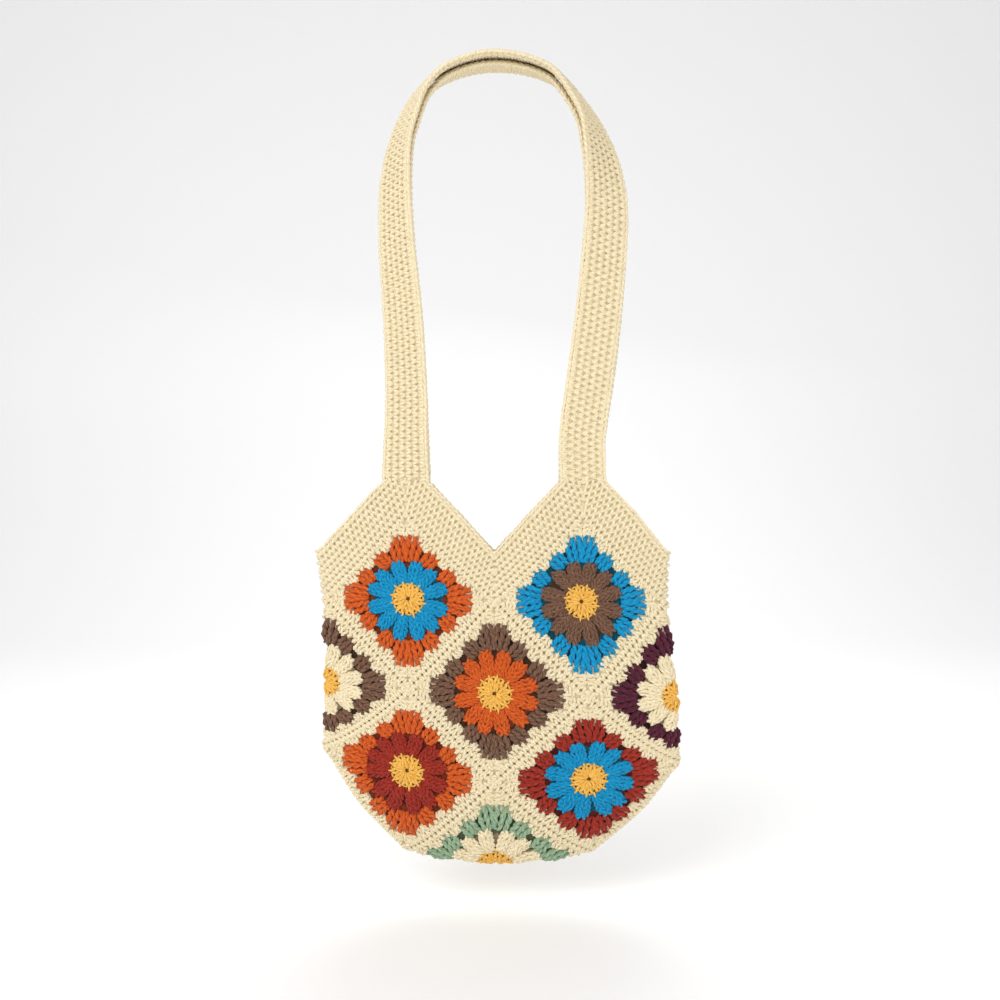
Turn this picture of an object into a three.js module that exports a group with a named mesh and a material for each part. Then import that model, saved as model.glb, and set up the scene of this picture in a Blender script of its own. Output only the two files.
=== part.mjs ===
// A crocheted shoulder bag of thirteen granny squares, as it hangs from its two straps.
// Lengths are millimetres. +Z is up, and the front faces -Y. The origin is where the straps rest.

import * as THREE from 'three';

// A granny square is worked from the middle out: a centre, a round of petals, a round of clusters and a
// surround. The lengths add up to half a side. Dips are shares of their round's own length.
const CENTRE_RADIUS = 16.5;
const CENTRE_POINTS = 12;
const PETALS = 12;
const PETAL_LENGTH = 24;
const PETAL_DIP = 0.27;
const CLUSTER_LENGTH = 11.5;
const CLUSTER_DIP = 0.52;
const CLUSTER_WIDTH = 15;
const SURROUND_WIDTH = 9.5;
const HALF_SIDE = CENTRE_RADIUS + PETAL_LENGTH + CLUSTER_LENGTH + SURROUND_WIDTH;
const HALF_DIAGONAL = HALF_SIDE * Math.SQRT2;
const EDGE_PIECES = 5;

// The clusters along one side of a square: along is a share of half a side, reach of the clusters' length
const SIDE_CLUSTERS = [
  { along: -0.56, reach: 0.61 },
  { along: -0.203, reach: 1 },
  { along: 0.203, reach: 1 },
  { along: 0.56, reach: 0.61 },
];
const CORNER_NOTCH = 0.087;

// The bag's wall is laid out flat on a lattice: one step across or down is half a square's diagonal.
// Column 0 is the middle of the front, 2 the side fold and 4 the middle of the back.
// Row 1 is the peaks of the top squares, 0 their centres, and row -3 is the fold at the bottom.
const WALL = 5;
const SIDE_COLUMN = 2;
const PEAK_ROW = 1;
const TAPER_ROW = -2;
const FOLD_ROW = -3;

// The hanging body: its sides curve up, lean down to the right and sway to the right, each by so much
// at the side fold
const INNER_HALF_DEPTH = 20;
const SIDE_LIFT = 50;
const SIDE_LEAN = 8;
const SIDE_SWAY = 7;

// How the wall hangs, down the front and on past the fold. drop is a share of the way from the peaks to
// the fold, depth of INNER_HALF_DEPTH, lift of SIDE_LIFT, lean of SIDE_LEAN and sway of SIDE_SWAY, and
// stretch is how many times their own width the squares are pulled to.
const HANG = [
  { row: 1.3, drop: -0.079, depth: 0.3, lift: 0, lean: 0, sway: 0, stretch: 1 },
  { row: 1, drop: 0, depth: 0.4, lift: 0, lean: 0, sway: 0, stretch: 1 },
  { row: 0.55, drop: 0.122, depth: 0.55, lift: 0, lean: 0.1, sway: -0.2, stretch: 0.985 },
  { row: 0, drop: 0.25, depth: 0.75, lift: 0, lean: 0.35, sway: 0.1, stretch: 0.968 },
  { row: -1, drop: 0.507, depth: 1, lift: 0.01, lean: 1, sway: 1, stretch: 1 },
  { row: -2, drop: 0.75, depth: 1.03, lift: 0.44, lean: 1, sway: 1, stretch: 1.01 },
  { row: -2.5, drop: 0.87, depth: 0.89, lift: 0.52, lean: 0.6, sway: 1.1, stretch: 1.065 },
  { row: -3, drop: 1, depth: 0, lift: 0.9, lean: 0.2, sway: 1.3, stretch: 1.06 },
  { row: -3.5, drop: 0.87, depth: 0.89, lift: 0.52, lean: 0.6, sway: 1.1, stretch: 1.065 },
];

// The border of plain crochet round the opening
const BORDER_WIDTH = 34;
const BORDER_COURSES = 2;

// The straps: each a flat band, the front one over the back one where they lie on the shoulder
const STRAP_WIDTH = 41.5;
const STRAP_THICKNESS = 4.8;
const STRAP_DROP = 412;
const STRAP_STEPS = 60;
const STRAP_STAGGER = 14;
const STRAP_CLEARANCE = 0.9;

// The straps' route between their feet: reach is a share of the foot's own reach from the middle, height
// of STRAP_DROP, turn is in degrees from facing the front, stagger is a share of STRAP_STAGGER, and apart
// is how far the two have spread, from lying on each other to the distance between their feet
const STRAP_ROUTE = [
  { reach: -1, height: 0.1, turn: 18, stagger: 0.35, apart: 0.75 },
  { reach: -1.003, height: 0.205, turn: 24, stagger: 0.45, apart: 0.35 },
  { reach: -1.044, height: 0.392, turn: 30, stagger: 0.45, apart: 0.1 },
  { reach: -1.116, height: 0.577, turn: 38, stagger: 0.5, apart: 0 },
  { reach: -1.123, height: 0.713, turn: 46, stagger: 0.55, apart: 0 },
  { reach: -1.069, height: 0.8, turn: 55, stagger: 0.65, apart: 0 },
  { reach: -0.954, height: 0.869, turn: 61, stagger: 0.75, apart: 0 },
  { reach: -0.817, height: 0.922, turn: 68, stagger: 0.85, apart: 0 },
  { reach: -0.551, height: 0.971, turn: 73, stagger: 1, apart: 0 },
  { reach: 0, height: 1, turn: 75, stagger: 1, apart: 0 },
  { reach: 0.638, height: 0.969, turn: 72, stagger: 1, apart: 0 },
  { reach: 0.931, height: 0.903, turn: 66, stagger: 0.8, apart: 0 },
  { reach: 1.069, height: 0.856, turn: 60, stagger: 0.65, apart: 0 },
  { reach: 1.161, height: 0.805, turn: 48, stagger: 0.5, apart: 0 },
  { reach: 1.23, height: 0.747, turn: 36, stagger: 0.4, apart: 0 },
  { reach: 1.276, height: 0.667, turn: 22, stagger: 0.3, apart: 0 },
  { reach: 1.263, height: 0.577, turn: 14, stagger: 0.2, apart: 0 },
  { reach: 1.184, height: 0.392, turn: 6, stagger: 0.2, apart: 0.1 },
  { reach: 1.097, height: 0.25, turn: 2, stagger: 0.2, apart: 0.35 },
  { reach: 1, height: 0.1, turn: 0, stagger: 0.1, apart: 0.75 },
];
const STRAP_FOOT = { turn: 0, stagger: 0, apart: 1 };

// What neighbouring pieces keep between them
const SEAM_GAP = 0.4;

const YARN = {
  cream: 0xefe3bf,
  yellow: 0xf2be4f,
  turquoise: 0x0aa3db,
  orange: 0xd9571e,
  brown: 0x6a4b3b,
  rust_red: 0xa82a1e,
  burgundy: 0x4d1426,
  sage: 0x8fb09a,
};

// The squares, by the lattice place of their centre
const SQUARES = [
  { name: 'front_top_left', column: -1, row: 0, petals: 'turquoise', clusters: 'orange' },
  { name: 'front_top_right', column: 1, row: 0, petals: 'brown', clusters: 'turquoise' },
  { name: 'front_middle', column: 0, row: -1, petals: 'orange', clusters: 'brown' },
  { name: 'side_left', column: -2, row: -1, petals: 'cream', clusters: 'brown' },
  { name: 'side_right', column: 2, row: -1, petals: 'cream', clusters: 'burgundy' },
  { name: 'front_lower_left', column: -1, row: -2, petals: 'rust_red', clusters: 'orange' },
  { name: 'front_lower_right', column: 1, row: -2, petals: 'turquoise', clusters: 'rust_red' },
  { name: 'bottom', column: 0, row: -3, petals: 'cream', clusters: 'sage' },
  { name: 'back_top_left', column: -3, row: 0, petals: 'rust_red', clusters: 'brown' },
  { name: 'back_top_right', column: 3, row: 0, petals: 'turquoise', clusters: 'orange' },
  { name: 'back_middle', column: 4, row: -1, petals: 'cream', clusters: 'turquoise' },
  { name: 'back_lower_left', column: -3, row: -2, petals: 'orange', clusters: 'sage' },
  { name: 'back_lower_right', column: 3, row: -2, petals: 'brown', clusters: 'burgundy' },
];

const YARN_ROUGHNESS = 0.9;

const QUARTER = Math.PI / 2;
const ELLIPSE_STEPS = 96;
const HALVINGS = 40;
const SLOPE_STEP = 0.01;
const FOLD_MARGIN = 0.0025;
const MITRE_LIMIT = 0.3;
const WAVES = 4;
const PEAK_KEY_STEP = 0.02;

// A smooth value between the rows of a table, read from its named columns. Past the table's ends it
// goes on straight.
function readTable(table, key, column, at) {
  const rising = table[table.length - 1][key] > table[0][key];
  const rows = rising ? table : [...table].reverse();
  const clamped = THREE.MathUtils.clamp(at, rows[0][key], rows[rows.length - 1][key]);
  let low = 0;
  while (low < rows.length - 2 && rows[low + 1][key] < clamped) low += 1;
  const slope = (i) => {
    const before = rows[Math.max(i - 1, 0)];
    const after = rows[Math.min(i + 1, rows.length - 1)];
    return (after[column] - before[column]) / (after[key] - before[key]);
  };
  const span = rows[low + 1][key] - rows[low][key];
  const t = (clamped - rows[low][key]) / span;
  const rise = rows[low + 1][column] - rows[low][column];
  const bend = t * (1 - t) * ((1 - t) * (slope(low) * span - rise) + t * (rise - slope(low + 1) * span));
  const past = (at - clamped) * slope(clamped === rows[0][key] ? 0 : rows.length - 1);
  return rows[low][column] + t * rise + bend + past;
}

// Lengths along a quarter of an ellipse from the end of its axis a towards the end of its axis b
function quarterLengths(a, b) {
  const lengths = [0];
  for (let i = 0; i < ELLIPSE_STEPS; i += 1) {
    const from = (i / ELLIPSE_STEPS) * QUARTER;
    const to = ((i + 1) / ELLIPSE_STEPS) * QUARTER;
    const step = Math.hypot(a * (Math.cos(to) - Math.cos(from)), b * (Math.sin(to) - Math.sin(from)));
    lengths.push(lengths[i] + step);
  }
  return lengths;
}

// The angle at a share of the quarter's length
function angleAt(lengths, share) {
  const target = share * lengths[ELLIPSE_STEPS];
  let i = 0;
  while (i < ELLIPSE_STEPS - 1 && lengths[i + 1] < target) i += 1;
  const part = (target - lengths[i]) / (lengths[i + 1] - lengths[i]);
  return ((i + part) / ELLIPSE_STEPS) * QUARTER;
}

// The half width at which a quarter of the section has the length that the squares give it
function solveHalfWidth(halfDepth, length) {
  let low = 0;
  let high = length;
  for (let i = 0; i < HALVINGS; i += 1) {
    const middle = (low + high) / 2;
    if (quarterLengths(halfDepth, middle)[ELLIPSE_STEPS] > length) high = middle;
    else low = middle;
  }
  return (low + high) / 2;
}

// The row where the border is cut level under a strap
function footRow() {
  return PEAK_ROW + (BORDER_WIDTH * Math.SQRT2 - STRAP_WIDTH / 2) / HALF_DIAGONAL;
}

const sections = new Map();

// The inner section of the bag at a lattice row, and how far its sides lift, lean and sway
function sectionAt(row) {
  const key = row.toFixed(6);
  if (sections.has(key)) return sections.get(key);
  const bodyDrop = (PEAK_ROW - FOLD_ROW) * HALF_DIAGONAL;
  const footDrop = readTable(HANG, 'row', 'drop', footRow()) * bodyDrop;
  let drop = readTable(HANG, 'row', 'drop', row) * bodyDrop;
  let halfDepth = readTable(HANG, 'row', 'depth', row) * INNER_HALF_DEPTH;
  if (row < TAPER_ROW) {
    const start = readTable(HANG, 'row', 'drop', TAPER_ROW) * bodyDrop;
    const startDepth = readTable(HANG, 'row', 'depth', TAPER_ROW) * INNER_HALF_DEPTH;
    const rest = bodyDrop - WALL - start;
    const angle = angleAt(quarterLengths(startDepth, rest), TAPER_ROW - row);
    drop = start + rest * Math.sin(angle);
    halfDepth = startDepth * Math.cos(angle);
  }
  const columns = Math.min(SIDE_COLUMN, row - FOLD_ROW + 1);
  const length = columns * HALF_DIAGONAL * readTable(HANG, 'row', 'stretch', row);
  const halfWidth = solveHalfWidth(halfDepth, length);
  const section = {
    columns,
    halfWidth,
    halfDepth,
    lengths: quarterLengths(halfDepth, halfWidth),
    height: footDrop - STRAP_DROP - drop,
    lift: readTable(HANG, 'row', 'lift', row) * SIDE_LIFT,
    lean: readTable(HANG, 'row', 'lean', row) * SIDE_LEAN,
    sway: readTable(HANG, 'row', 'sway', row) * SIDE_SWAY,
  };
  sections.set(key, section);
  return section;
}

// A point of the inner wall: round is the turn from the middle of the front, a quarter at the side fold
function innerPoint(row, round) {
  const section = sectionAt(row);
  const x = section.halfWidth * Math.sin(round);
  const y = -section.halfDepth * Math.cos(round);
  const share = x / (SIDE_COLUMN * HALF_DIAGONAL);
  const rise = section.lift * share ** 2 - section.lean * share;
  return new THREE.Vector3(x + section.sway * Math.abs(share), y, section.height + rise);
}

// The turn round the bag at a lattice place
function roundAt(column, row) {
  const halfLoop = 2 * SIDE_COLUMN;
  const wrapped = THREE.MathUtils.euclideanModulo(column + halfLoop, 2 * halfLoop) - halfLoop;
  const away = Math.abs(wrapped);
  const toBack = away > SIDE_COLUMN;
  const { columns, lengths } = sectionAt(row);
  const quarter = angleAt(lengths, Math.min((toBack ? halfLoop - away : away) / columns, 1));
  return Math.sign(wrapped) * (toBack ? Math.PI - quarter : quarter);
}

// A point of the wall at a lattice place, so far out from the wall's inner face.
// A place below the fold row is on the back, where the bottom square carries on.
function wallPoint(column, row, out) {
  if (row < FOLD_ROW) {
    const mirrored = wallPoint(column, 2 * FOLD_ROW - row, out);
    return mirrored.setY(-mirrored.y);
  }
  const round = roundAt(column, row);
  const point = innerPoint(row, round);
  const low = Math.max(row - SLOPE_STEP, FOLD_ROW + FOLD_MARGIN);
  const high = low + SLOPE_STEP;
  const across = innerPoint(high, round + SLOPE_STEP).sub(innerPoint(high, round - SLOPE_STEP));
  const upward = innerPoint(high, round).sub(innerPoint(low, round));
  const normal = across.cross(upward).normalize();
  return point.addScaledVector(normal, out);
}

// Joins two neighbouring loops with triangles, taking their points in order of their key
function stitchLoops(inner, outer, emit) {
  const keyAt = (loop, i) => loop[i % loop.length].key + Math.floor(i / loop.length);
  let i = 0;
  let j = 0;
  while (i < inner.length || j < outer.length) {
    const innerNext = j >= outer.length || keyAt(inner, i + 1) <= keyAt(outer, j + 1);
    if (i < inner.length && innerNext) {
      emit(inner[i % inner.length], outer[j % outer.length], inner[(i + 1) % inner.length]);
      i += 1;
    } else {
      emit(inner[i % inner.length], outer[j % outer.length], outer[(j + 1) % outer.length]);
      j += 1;
    }
  }
}

// A closed geometry from points and triangles, with its faces pointing out
function closedGeometry(points, triangles) {
  let volume = 0;
  for (const [a, b, c] of triangles) {
    volume += points[a].dot(new THREE.Vector3().crossVectors(points[b], points[c]));
  }
  const facing = volume < 0 ? triangles.map(([a, b, c]) => [a, c, b]) : triangles;
  const geometry = new THREE.BufferGeometry().setFromPoints(points);
  geometry.setIndex(facing.flat());
  geometry.computeVertexNormals();
  return geometry;
}

// A crocheted piece of wall between loops of lattice places, from the innermost loop to the outermost.
// A first loop of one place closes the middle.
function wallPiece(loops) {
  const points = [];
  const triangles = [];
  const placed = loops.map((loop) => loop.map(({ key, column, row }) => {
    const inside = points.push(wallPoint(column, row, 0)) - 1;
    const outside = points.push(wallPoint(column, row, WALL)) - 1;
    return { key, inside, outside };
  }));
  for (let k = 0; k + 1 < placed.length; k += 1) {
    const single = placed[k].length === 1;
    if (single) {
      const [middle] = placed[k];
      placed[k + 1].forEach((from, i, loop) => {
        const to = loop[(i + 1) % loop.length];
        triangles.push([middle.outside, from.outside, to.outside], [middle.inside, to.inside, from.inside]);
      });
    } else {
      stitchLoops(placed[k], placed[k + 1], (a, b, c) => {
        triangles.push([a.outside, b.outside, c.outside], [a.inside, c.inside, b.inside]);
      });
    }
  }
  const apart = (a, b) => points[a].distanceTo(points[b]);
  const closeEdge = (loop, outward) => loop.forEach((from, i) => {
    const to = loop[(i + 1) % loop.length];
    const [first, second] = outward ? [from, to] : [to, from];
    const corners = [first.inside, second.inside, second.outside, first.outside];
    const rising = apart(corners[0], corners[2]) < apart(corners[1], corners[3]);
    const [a, b, c, d] = rising ? corners : [...corners.slice(1), corners[0]];
    triangles.push([a, b, c], [a, c, d]);
  });
  if (placed[0].length > 1) closeEdge(placed[0], false);
  closeEdge(placed[placed.length - 1], true);
  return closedGeometry(points, triangles);
}

// A round's outline in the square's own millimetres: places with an angle from the middle
function outlineFromAngles(count, radiusAt) {
  return Array.from({ length: count }, (_, i) => {
    const angle = (i / count) * 2 * Math.PI;
    return new THREE.Vector2(Math.cos(angle), Math.sin(angle)).multiplyScalar(radiusAt(i));
  });
}

// The clusters' scalloped outline, with a notch at each corner
function clusterOutline() {
  const petalTip = CENTRE_RADIUS + PETAL_LENGTH;
  const valley = petalTip + CLUSTER_LENGTH * (1 - CLUSTER_DIP);
  const notch = petalTip + CLUSTER_LENGTH * CORNER_NOTCH;
  const side = [new THREE.Vector2(-notch, notch)];
  SIDE_CLUSTERS.forEach(({ along, reach }, i) => {
    const middle = along * HALF_SIDE;
    const top = petalTip + reach * CLUSTER_LENGTH;
    if (i > 0) side.push(new THREE.Vector2(((along + SIDE_CLUSTERS[i - 1].along) / 2) * HALF_SIDE, valley));
    side.push(new THREE.Vector2(middle - CLUSTER_WIDTH / 2, top));
    side.push(new THREE.Vector2(middle + CLUSTER_WIDTH / 2, top));
  });
  const origin = new THREE.Vector2();
  const sides = [0, 1, 2, 3].flatMap((k) => side.map((p) => p.clone().rotateAround(origin, -k * QUARTER)));
  return sides.map((p) => p.clone().rotateAround(origin, -QUARTER / 2));
}

// The square's edge, hung as a diamond
function edgeOutline() {
  const corners = [[1, 0], [0, 1], [-1, 0], [0, -1]].map(([x, y]) => new THREE.Vector2(x, y));
  return corners.flatMap((corner, i) => {
    const next = corners[(i + 1) % corners.length];
    return Array.from({ length: EDGE_PIECES }, (_, k) => (
      corner.clone().lerp(next, k / EDGE_PIECES).multiplyScalar(HALF_DIAGONAL)
    ));
  });
}

// Moves each corner of an outline square to its two edges, outwards by the given shift
function offsetOutline(outline, shift) {
  return outline.map((p, i) => {
    const before = outline[(i + outline.length - 1) % outline.length];
    const after = outline[(i + 1) % outline.length];
    const edges = [p.clone().sub(before), after.clone().sub(p)];
    const normals = edges.map((edge) => new THREE.Vector2(edge.y, -edge.x).normalize());
    const bisector = normals[0].clone().add(normals[1]).normalize();
    return p.clone().addScaledVector(bisector, shift / Math.max(bisector.dot(normals[0]), MITRE_LIMIT));
  });
}

// Moves an outline out by the given shift and puts it on the lattice, in order of angle
function placeOutline(outline, square, shift) {
  const ordered = outline.map((p) => ({ p, key: (Math.atan2(p.y, p.x) / (2 * Math.PI) + 1) % 1 }));
  ordered.sort((a, b) => a.key - b.key);
  const moved = offsetOutline(ordered.map(({ p }) => p), shift);
  return ordered.map(({ key }, i) => {
    const { x, y } = moved[i].divideScalar(HALF_DIAGONAL);
    return { key, column: square.column + x, row: square.row + y };
  });
}

function yarnMaterial(yarn) {
  return new THREE.MeshStandardMaterial({ color: YARN[yarn], roughness: YARN_ROUGHNESS, metalness: 0 });
}

function namedMesh(name, geometry, yarn) {
  const mesh = new THREE.Mesh(geometry, yarnMaterial(yarn));
  mesh.name = name;
  return mesh;
}

// One granny square: a centre, petals, clusters and the surround that meets its neighbours
function buildSquare(square) {
  const centre = outlineFromAngles(CENTRE_POINTS, () => CENTRE_RADIUS);
  const petalReach = (i) => (i % 2 ? PETAL_LENGTH : PETAL_LENGTH * (1 - PETAL_DIP));
  const petals = outlineFromAngles(2 * PETALS, (i) => CENTRE_RADIUS + petalReach(i));
  const clusters = clusterOutline();
  const edge = edgeOutline();
  const middle = [{ key: 0, column: square.column, row: square.row }];
  const out = (outline) => placeOutline(outline, square, SEAM_GAP / 2);
  const inward = (outline) => placeOutline(outline, square, -SEAM_GAP / 2);
  const rounds = [
    { round: 'centre', yarn: 'yellow', loops: [middle, inward(centre)] },
    { round: 'petals', yarn: square.petals, loops: [out(centre), inward(petals)] },
    { round: 'clusters', yarn: square.clusters, loops: [out(petals), inward(clusters)] },
    { round: 'surround', yarn: 'cream', loops: [out(clusters), inward(edge)] },
  ];
  const group = new THREE.Group();
  for (const { round, yarn, loops } of rounds) {
    group.add(namedMesh(`${square.name}_${round}`, wallPiece(loops), yarn));
  }
  return group;
}

// One wave of the border, from a valley over a peak: its inner edge follows the top squares, and its
// outer edge stands off them by the border's width and is cut level where a strap begins
function borderWave(share) {
  const rise = (BORDER_WIDTH * Math.SQRT2) / HALF_DIAGONAL;
  const foot = STRAP_WIDTH / 2 / HALF_DIAGONAL;
  const inset = SEAM_GAP / HALF_DIAGONAL;
  const slope = Array.from({ length: EDGE_PIECES + 1 }, (_, k) => {
    const along = k / EDGE_PIECES;
    const column = THREE.MathUtils.lerp(along, along * (1 - foot), share);
    const row = THREE.MathUtils.lerp(along + inset, along * (1 - foot) + rise, share);
    return { key: along / 2, column, row };
  });
  const peak = { key: 0.5, column: 1, row: THREE.MathUtils.lerp(PEAK_ROW + inset, footRow(), share) };
  if (share === 0) slope.pop();
  else slope[EDGE_PIECES].key -= PEAK_KEY_STEP;
  const falling = slope.slice(1).reverse().map(({ key, column, row }) => (
    { key: 1 - key, column: 2 - column, row }
  ));
  return [...slope, peak, ...falling];
}

// The border runs over the front's two peaks and the back's two
function borderLoop(share) {
  return Array.from({ length: WAVES }, (_, k) => k).flatMap((k) => borderWave(share).map((place) => (
    { key: (k + place.key) / WAVES, column: place.column + SIDE_COLUMN * k, row: place.row }
  )));
}

function buildBorder() {
  const loops = Array.from({ length: BORDER_COURSES + 1 }, (_, k) => borderLoop(k / BORDER_COURSES));
  return namedMesh('border', wallPiece(loops), 'cream');
}

// The straps' shared route, from foot to foot, as a curve and a table that is read along it
function strapRoute() {
  const foot = wallPoint(1, footRow(), WALL / 2);
  const rise = STRAP_THICKNESS + STRAP_CLEARANCE / 2;
  const points = STRAP_ROUTE.map(({ reach, height }) => (
    new THREE.Vector3(reach * foot.x, 0, (height - 1) * STRAP_DROP + height * rise)
  ));
  const footHeight = foot.z + SEAM_GAP;
  points.unshift(new THREE.Vector3(-foot.x, 0, footHeight));
  points.push(new THREE.Vector3(foot.x, 0, footHeight));
  const table = [STRAP_FOOT, ...STRAP_ROUTE, STRAP_FOOT].map((row, station) => ({ ...row, station }));
  const restingHalf = (STRAP_THICKNESS + STRAP_CLEARANCE) / 2;
  return { curve: new THREE.CatmullRomCurve3(points), table, restingHalf, footHalf: Math.abs(foot.y) };
}

// One strap: side is 1 for the front strap, which lies outside the back one, and -1 for the back one
function buildStrap(name, side) {
  const { curve, table, restingHalf, footHalf } = strapRoute();
  const half = STRAP_WIDTH / 2;
  const thick = STRAP_THICKNESS / 2;
  const outline = [[-half, -thick], [0, -thick], [half, -thick], [half, thick], [0, thick], [-half, thick]];
  const points = [];
  const triangles = [];
  for (let k = 0; k <= STRAP_STEPS; k += 1) {
    const t = curve.getUtoTmapping(k / STRAP_STEPS);
    const read = (column) => readTable(table, 'station', column, t * (table.length - 1));
    const tangent = curve.getTangent(t);
    const turn = THREE.MathUtils.degToRad(read('turn'));
    const outward = new THREE.Vector3(-tangent.z, 0, tangent.x).normalize();
    const depth = new THREE.Vector3(0, 1, 0);
    const across = outward.clone().multiplyScalar(Math.cos(turn)).addScaledVector(depth, Math.sin(turn));
    const facing = outward.clone().multiplyScalar(Math.sin(turn)).addScaledVector(depth, -Math.cos(turn));
    const spread = THREE.MathUtils.lerp(restingHalf, footHalf, read('apart'));
    const centre = curve.getPoint(t).addScaledVector(facing, side * spread);
    centre.addScaledVector(across, (-side * read('stagger') * STRAP_STAGGER) / 2);
    outline.forEach(([w, n]) => {
      points.push(centre.clone().addScaledVector(across, w).addScaledVector(facing, n));
    });
  }
  const sides = outline.length;
  for (let k = 0; k < STRAP_STEPS; k += 1) {
    for (let i = 0; i < sides; i += 1) {
      const [a, b] = [k * sides + i, k * sides + ((i + 1) % sides)];
      triangles.push([a, b, b + sides], [a, b + sides, a + sides]);
    }
  }
  const last = STRAP_STEPS * sides;
  for (let i = 1; i + 1 < sides; i += 1) triangles.push([0, i + 1, i], [last, last + i, last + i + 1]);
  return namedMesh(name, closedGeometry(points, triangles), 'cream');
}

const group = new THREE.Group();
group.name = 'crochet_bag';
for (const square of SQUARES) group.add(buildSquare(square));
group.add(buildBorder());
group.add(buildStrap('front_strap', 1));
group.add(buildStrap('back_strap', -1));

export default group;
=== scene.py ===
"""A crocheted shoulder bag of thirteen granny squares, as it hangs from its two straps.

Sizes are millimetres of the real bag, and meshes are built in metres. +Z is up and the front faces -Y.
Every stitch is a yarn swept along its own path, and the paths are laid on the bag's hanging wall.
"""

import logging
import math
from dataclasses import dataclass, field
from enum import Enum
from operator import itemgetter
from typing import Callable, Sequence

import bpy
import numpy as np
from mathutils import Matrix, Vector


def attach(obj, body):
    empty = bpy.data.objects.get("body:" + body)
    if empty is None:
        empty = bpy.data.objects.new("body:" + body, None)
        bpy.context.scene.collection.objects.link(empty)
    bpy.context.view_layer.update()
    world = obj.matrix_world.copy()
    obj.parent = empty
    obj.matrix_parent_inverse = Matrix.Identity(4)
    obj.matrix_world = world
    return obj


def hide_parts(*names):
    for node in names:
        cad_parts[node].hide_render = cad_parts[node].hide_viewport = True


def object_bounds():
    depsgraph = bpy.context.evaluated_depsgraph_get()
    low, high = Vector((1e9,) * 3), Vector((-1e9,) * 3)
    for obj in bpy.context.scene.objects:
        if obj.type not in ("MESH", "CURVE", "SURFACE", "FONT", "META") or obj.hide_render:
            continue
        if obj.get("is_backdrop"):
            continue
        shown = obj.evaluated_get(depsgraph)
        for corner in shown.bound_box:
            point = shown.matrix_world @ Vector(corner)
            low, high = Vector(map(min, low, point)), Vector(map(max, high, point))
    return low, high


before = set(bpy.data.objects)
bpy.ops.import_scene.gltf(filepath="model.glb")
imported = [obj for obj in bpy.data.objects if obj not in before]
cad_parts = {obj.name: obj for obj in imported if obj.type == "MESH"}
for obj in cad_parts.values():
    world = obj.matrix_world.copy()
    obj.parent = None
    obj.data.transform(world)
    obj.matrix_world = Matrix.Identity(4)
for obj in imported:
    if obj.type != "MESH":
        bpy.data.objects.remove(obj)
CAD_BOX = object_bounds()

LOG = logging.getLogger("crochet_bag")
MM = 0.001
Array = np.ndarray
Chart = Callable[[Array, Array, Array], Array]


def linear(code: str) -> tuple[float, float, float, float]:
    """Turns an sRGB hex colour to linear.

    Args:
        code: six hex digits.

    Returns:
        The linear colour with an alpha of one.
    """
    parts = [int(code[i:i + 2], 16) / 255 for i in (0, 2, 4)]
    lit = [c / 12.92 if c <= 0.04045 else ((c + 0.055) / 1.055) ** 2.4 for c in parts]
    return (*lit, 1.0)


def add_node(tree: bpy.types.NodeTree, kind: str, feeds: dict | None = None,
             **settings: object) -> bpy.types.Node:
    """Adds a node to a tree, with its settings and what feeds its inputs.

    Args:
        tree: the tree it goes in.
        kind: the node's type.
        feeds: for each input, by name or number, an output socket to link or a value to set.
        settings: the node's own properties.

    Returns:
        The new node.
    """
    node = tree.nodes.new(kind)
    for name, value in settings.items():
        setattr(node, name, value)
    for name, value in (feeds or {}).items():
        if isinstance(value, bpy.types.NodeSocket):
            tree.links.new(value, node.inputs[name])
        else:
            node.inputs[name].default_value = value
    return node


def read_table(rows: Sequence[dict], key: str, column: str, at: Array) -> Array:
    """Reads a smooth value between the rows of a table. Past its ends it goes on straight.

    Args:
        rows: the table, rising or falling in its key.
        key: the column that the table is read by.
        column: the column that is wanted.
        at: where to read.

    Returns:
        The values there.
    """
    ordered = sorted(rows, key=itemgetter(key))
    keys = np.array([row[key] for row in ordered], float)
    values = np.array([row[column] for row in ordered], float)
    before = np.maximum(np.arange(len(keys)) - 1, 0)
    after = np.minimum(np.arange(len(keys)) + 1, len(keys) - 1)
    slopes = (values[after] - values[before]) / (keys[after] - keys[before])
    inside = np.clip(at, keys[0], keys[-1])
    low = np.clip(np.searchsorted(keys, inside) - 1, 0, len(keys) - 2)
    span = keys[low + 1] - keys[low]
    t = (inside - keys[low]) / span
    rise = values[low + 1] - values[low]
    bend = t * (1 - t) * ((1 - t) * (slopes[low] * span - rise) + t * (rise - slopes[low + 1] * span))
    past = (at - inside) * np.where(at < keys[0], slopes[0], slopes[-1])
    return values[low] + t * rise + bend + past


class Yarn(Enum):
    """The yarns of the bag, each with the record's slot and its shadow and light colours."""

    CREAM = ("cream_yarn", "E2D1A8", "FCEFD0")
    YELLOW = ("yellow_yarn", "DDA23A", "FCCB68")
    TURQUOISE = ("turquoise_yarn", "007CA6", "00A4DA")
    ORANGE = ("orange_yarn", "B5470C", "E66A22")
    BROWN = ("brown_yarn", "5C3F2E", "8B6650")
    RUST_RED = ("rust_red_yarn", "821C10", "B23521")
    BURGUNDY = ("burgundy_yarn", "3F0E1E", "66203A")
    SAGE = ("sage_yarn", "7E9A7C", "A9C29E")

    @property
    def slot(self) -> str:
        """The record's material slot."""
        return self.value[0]


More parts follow.
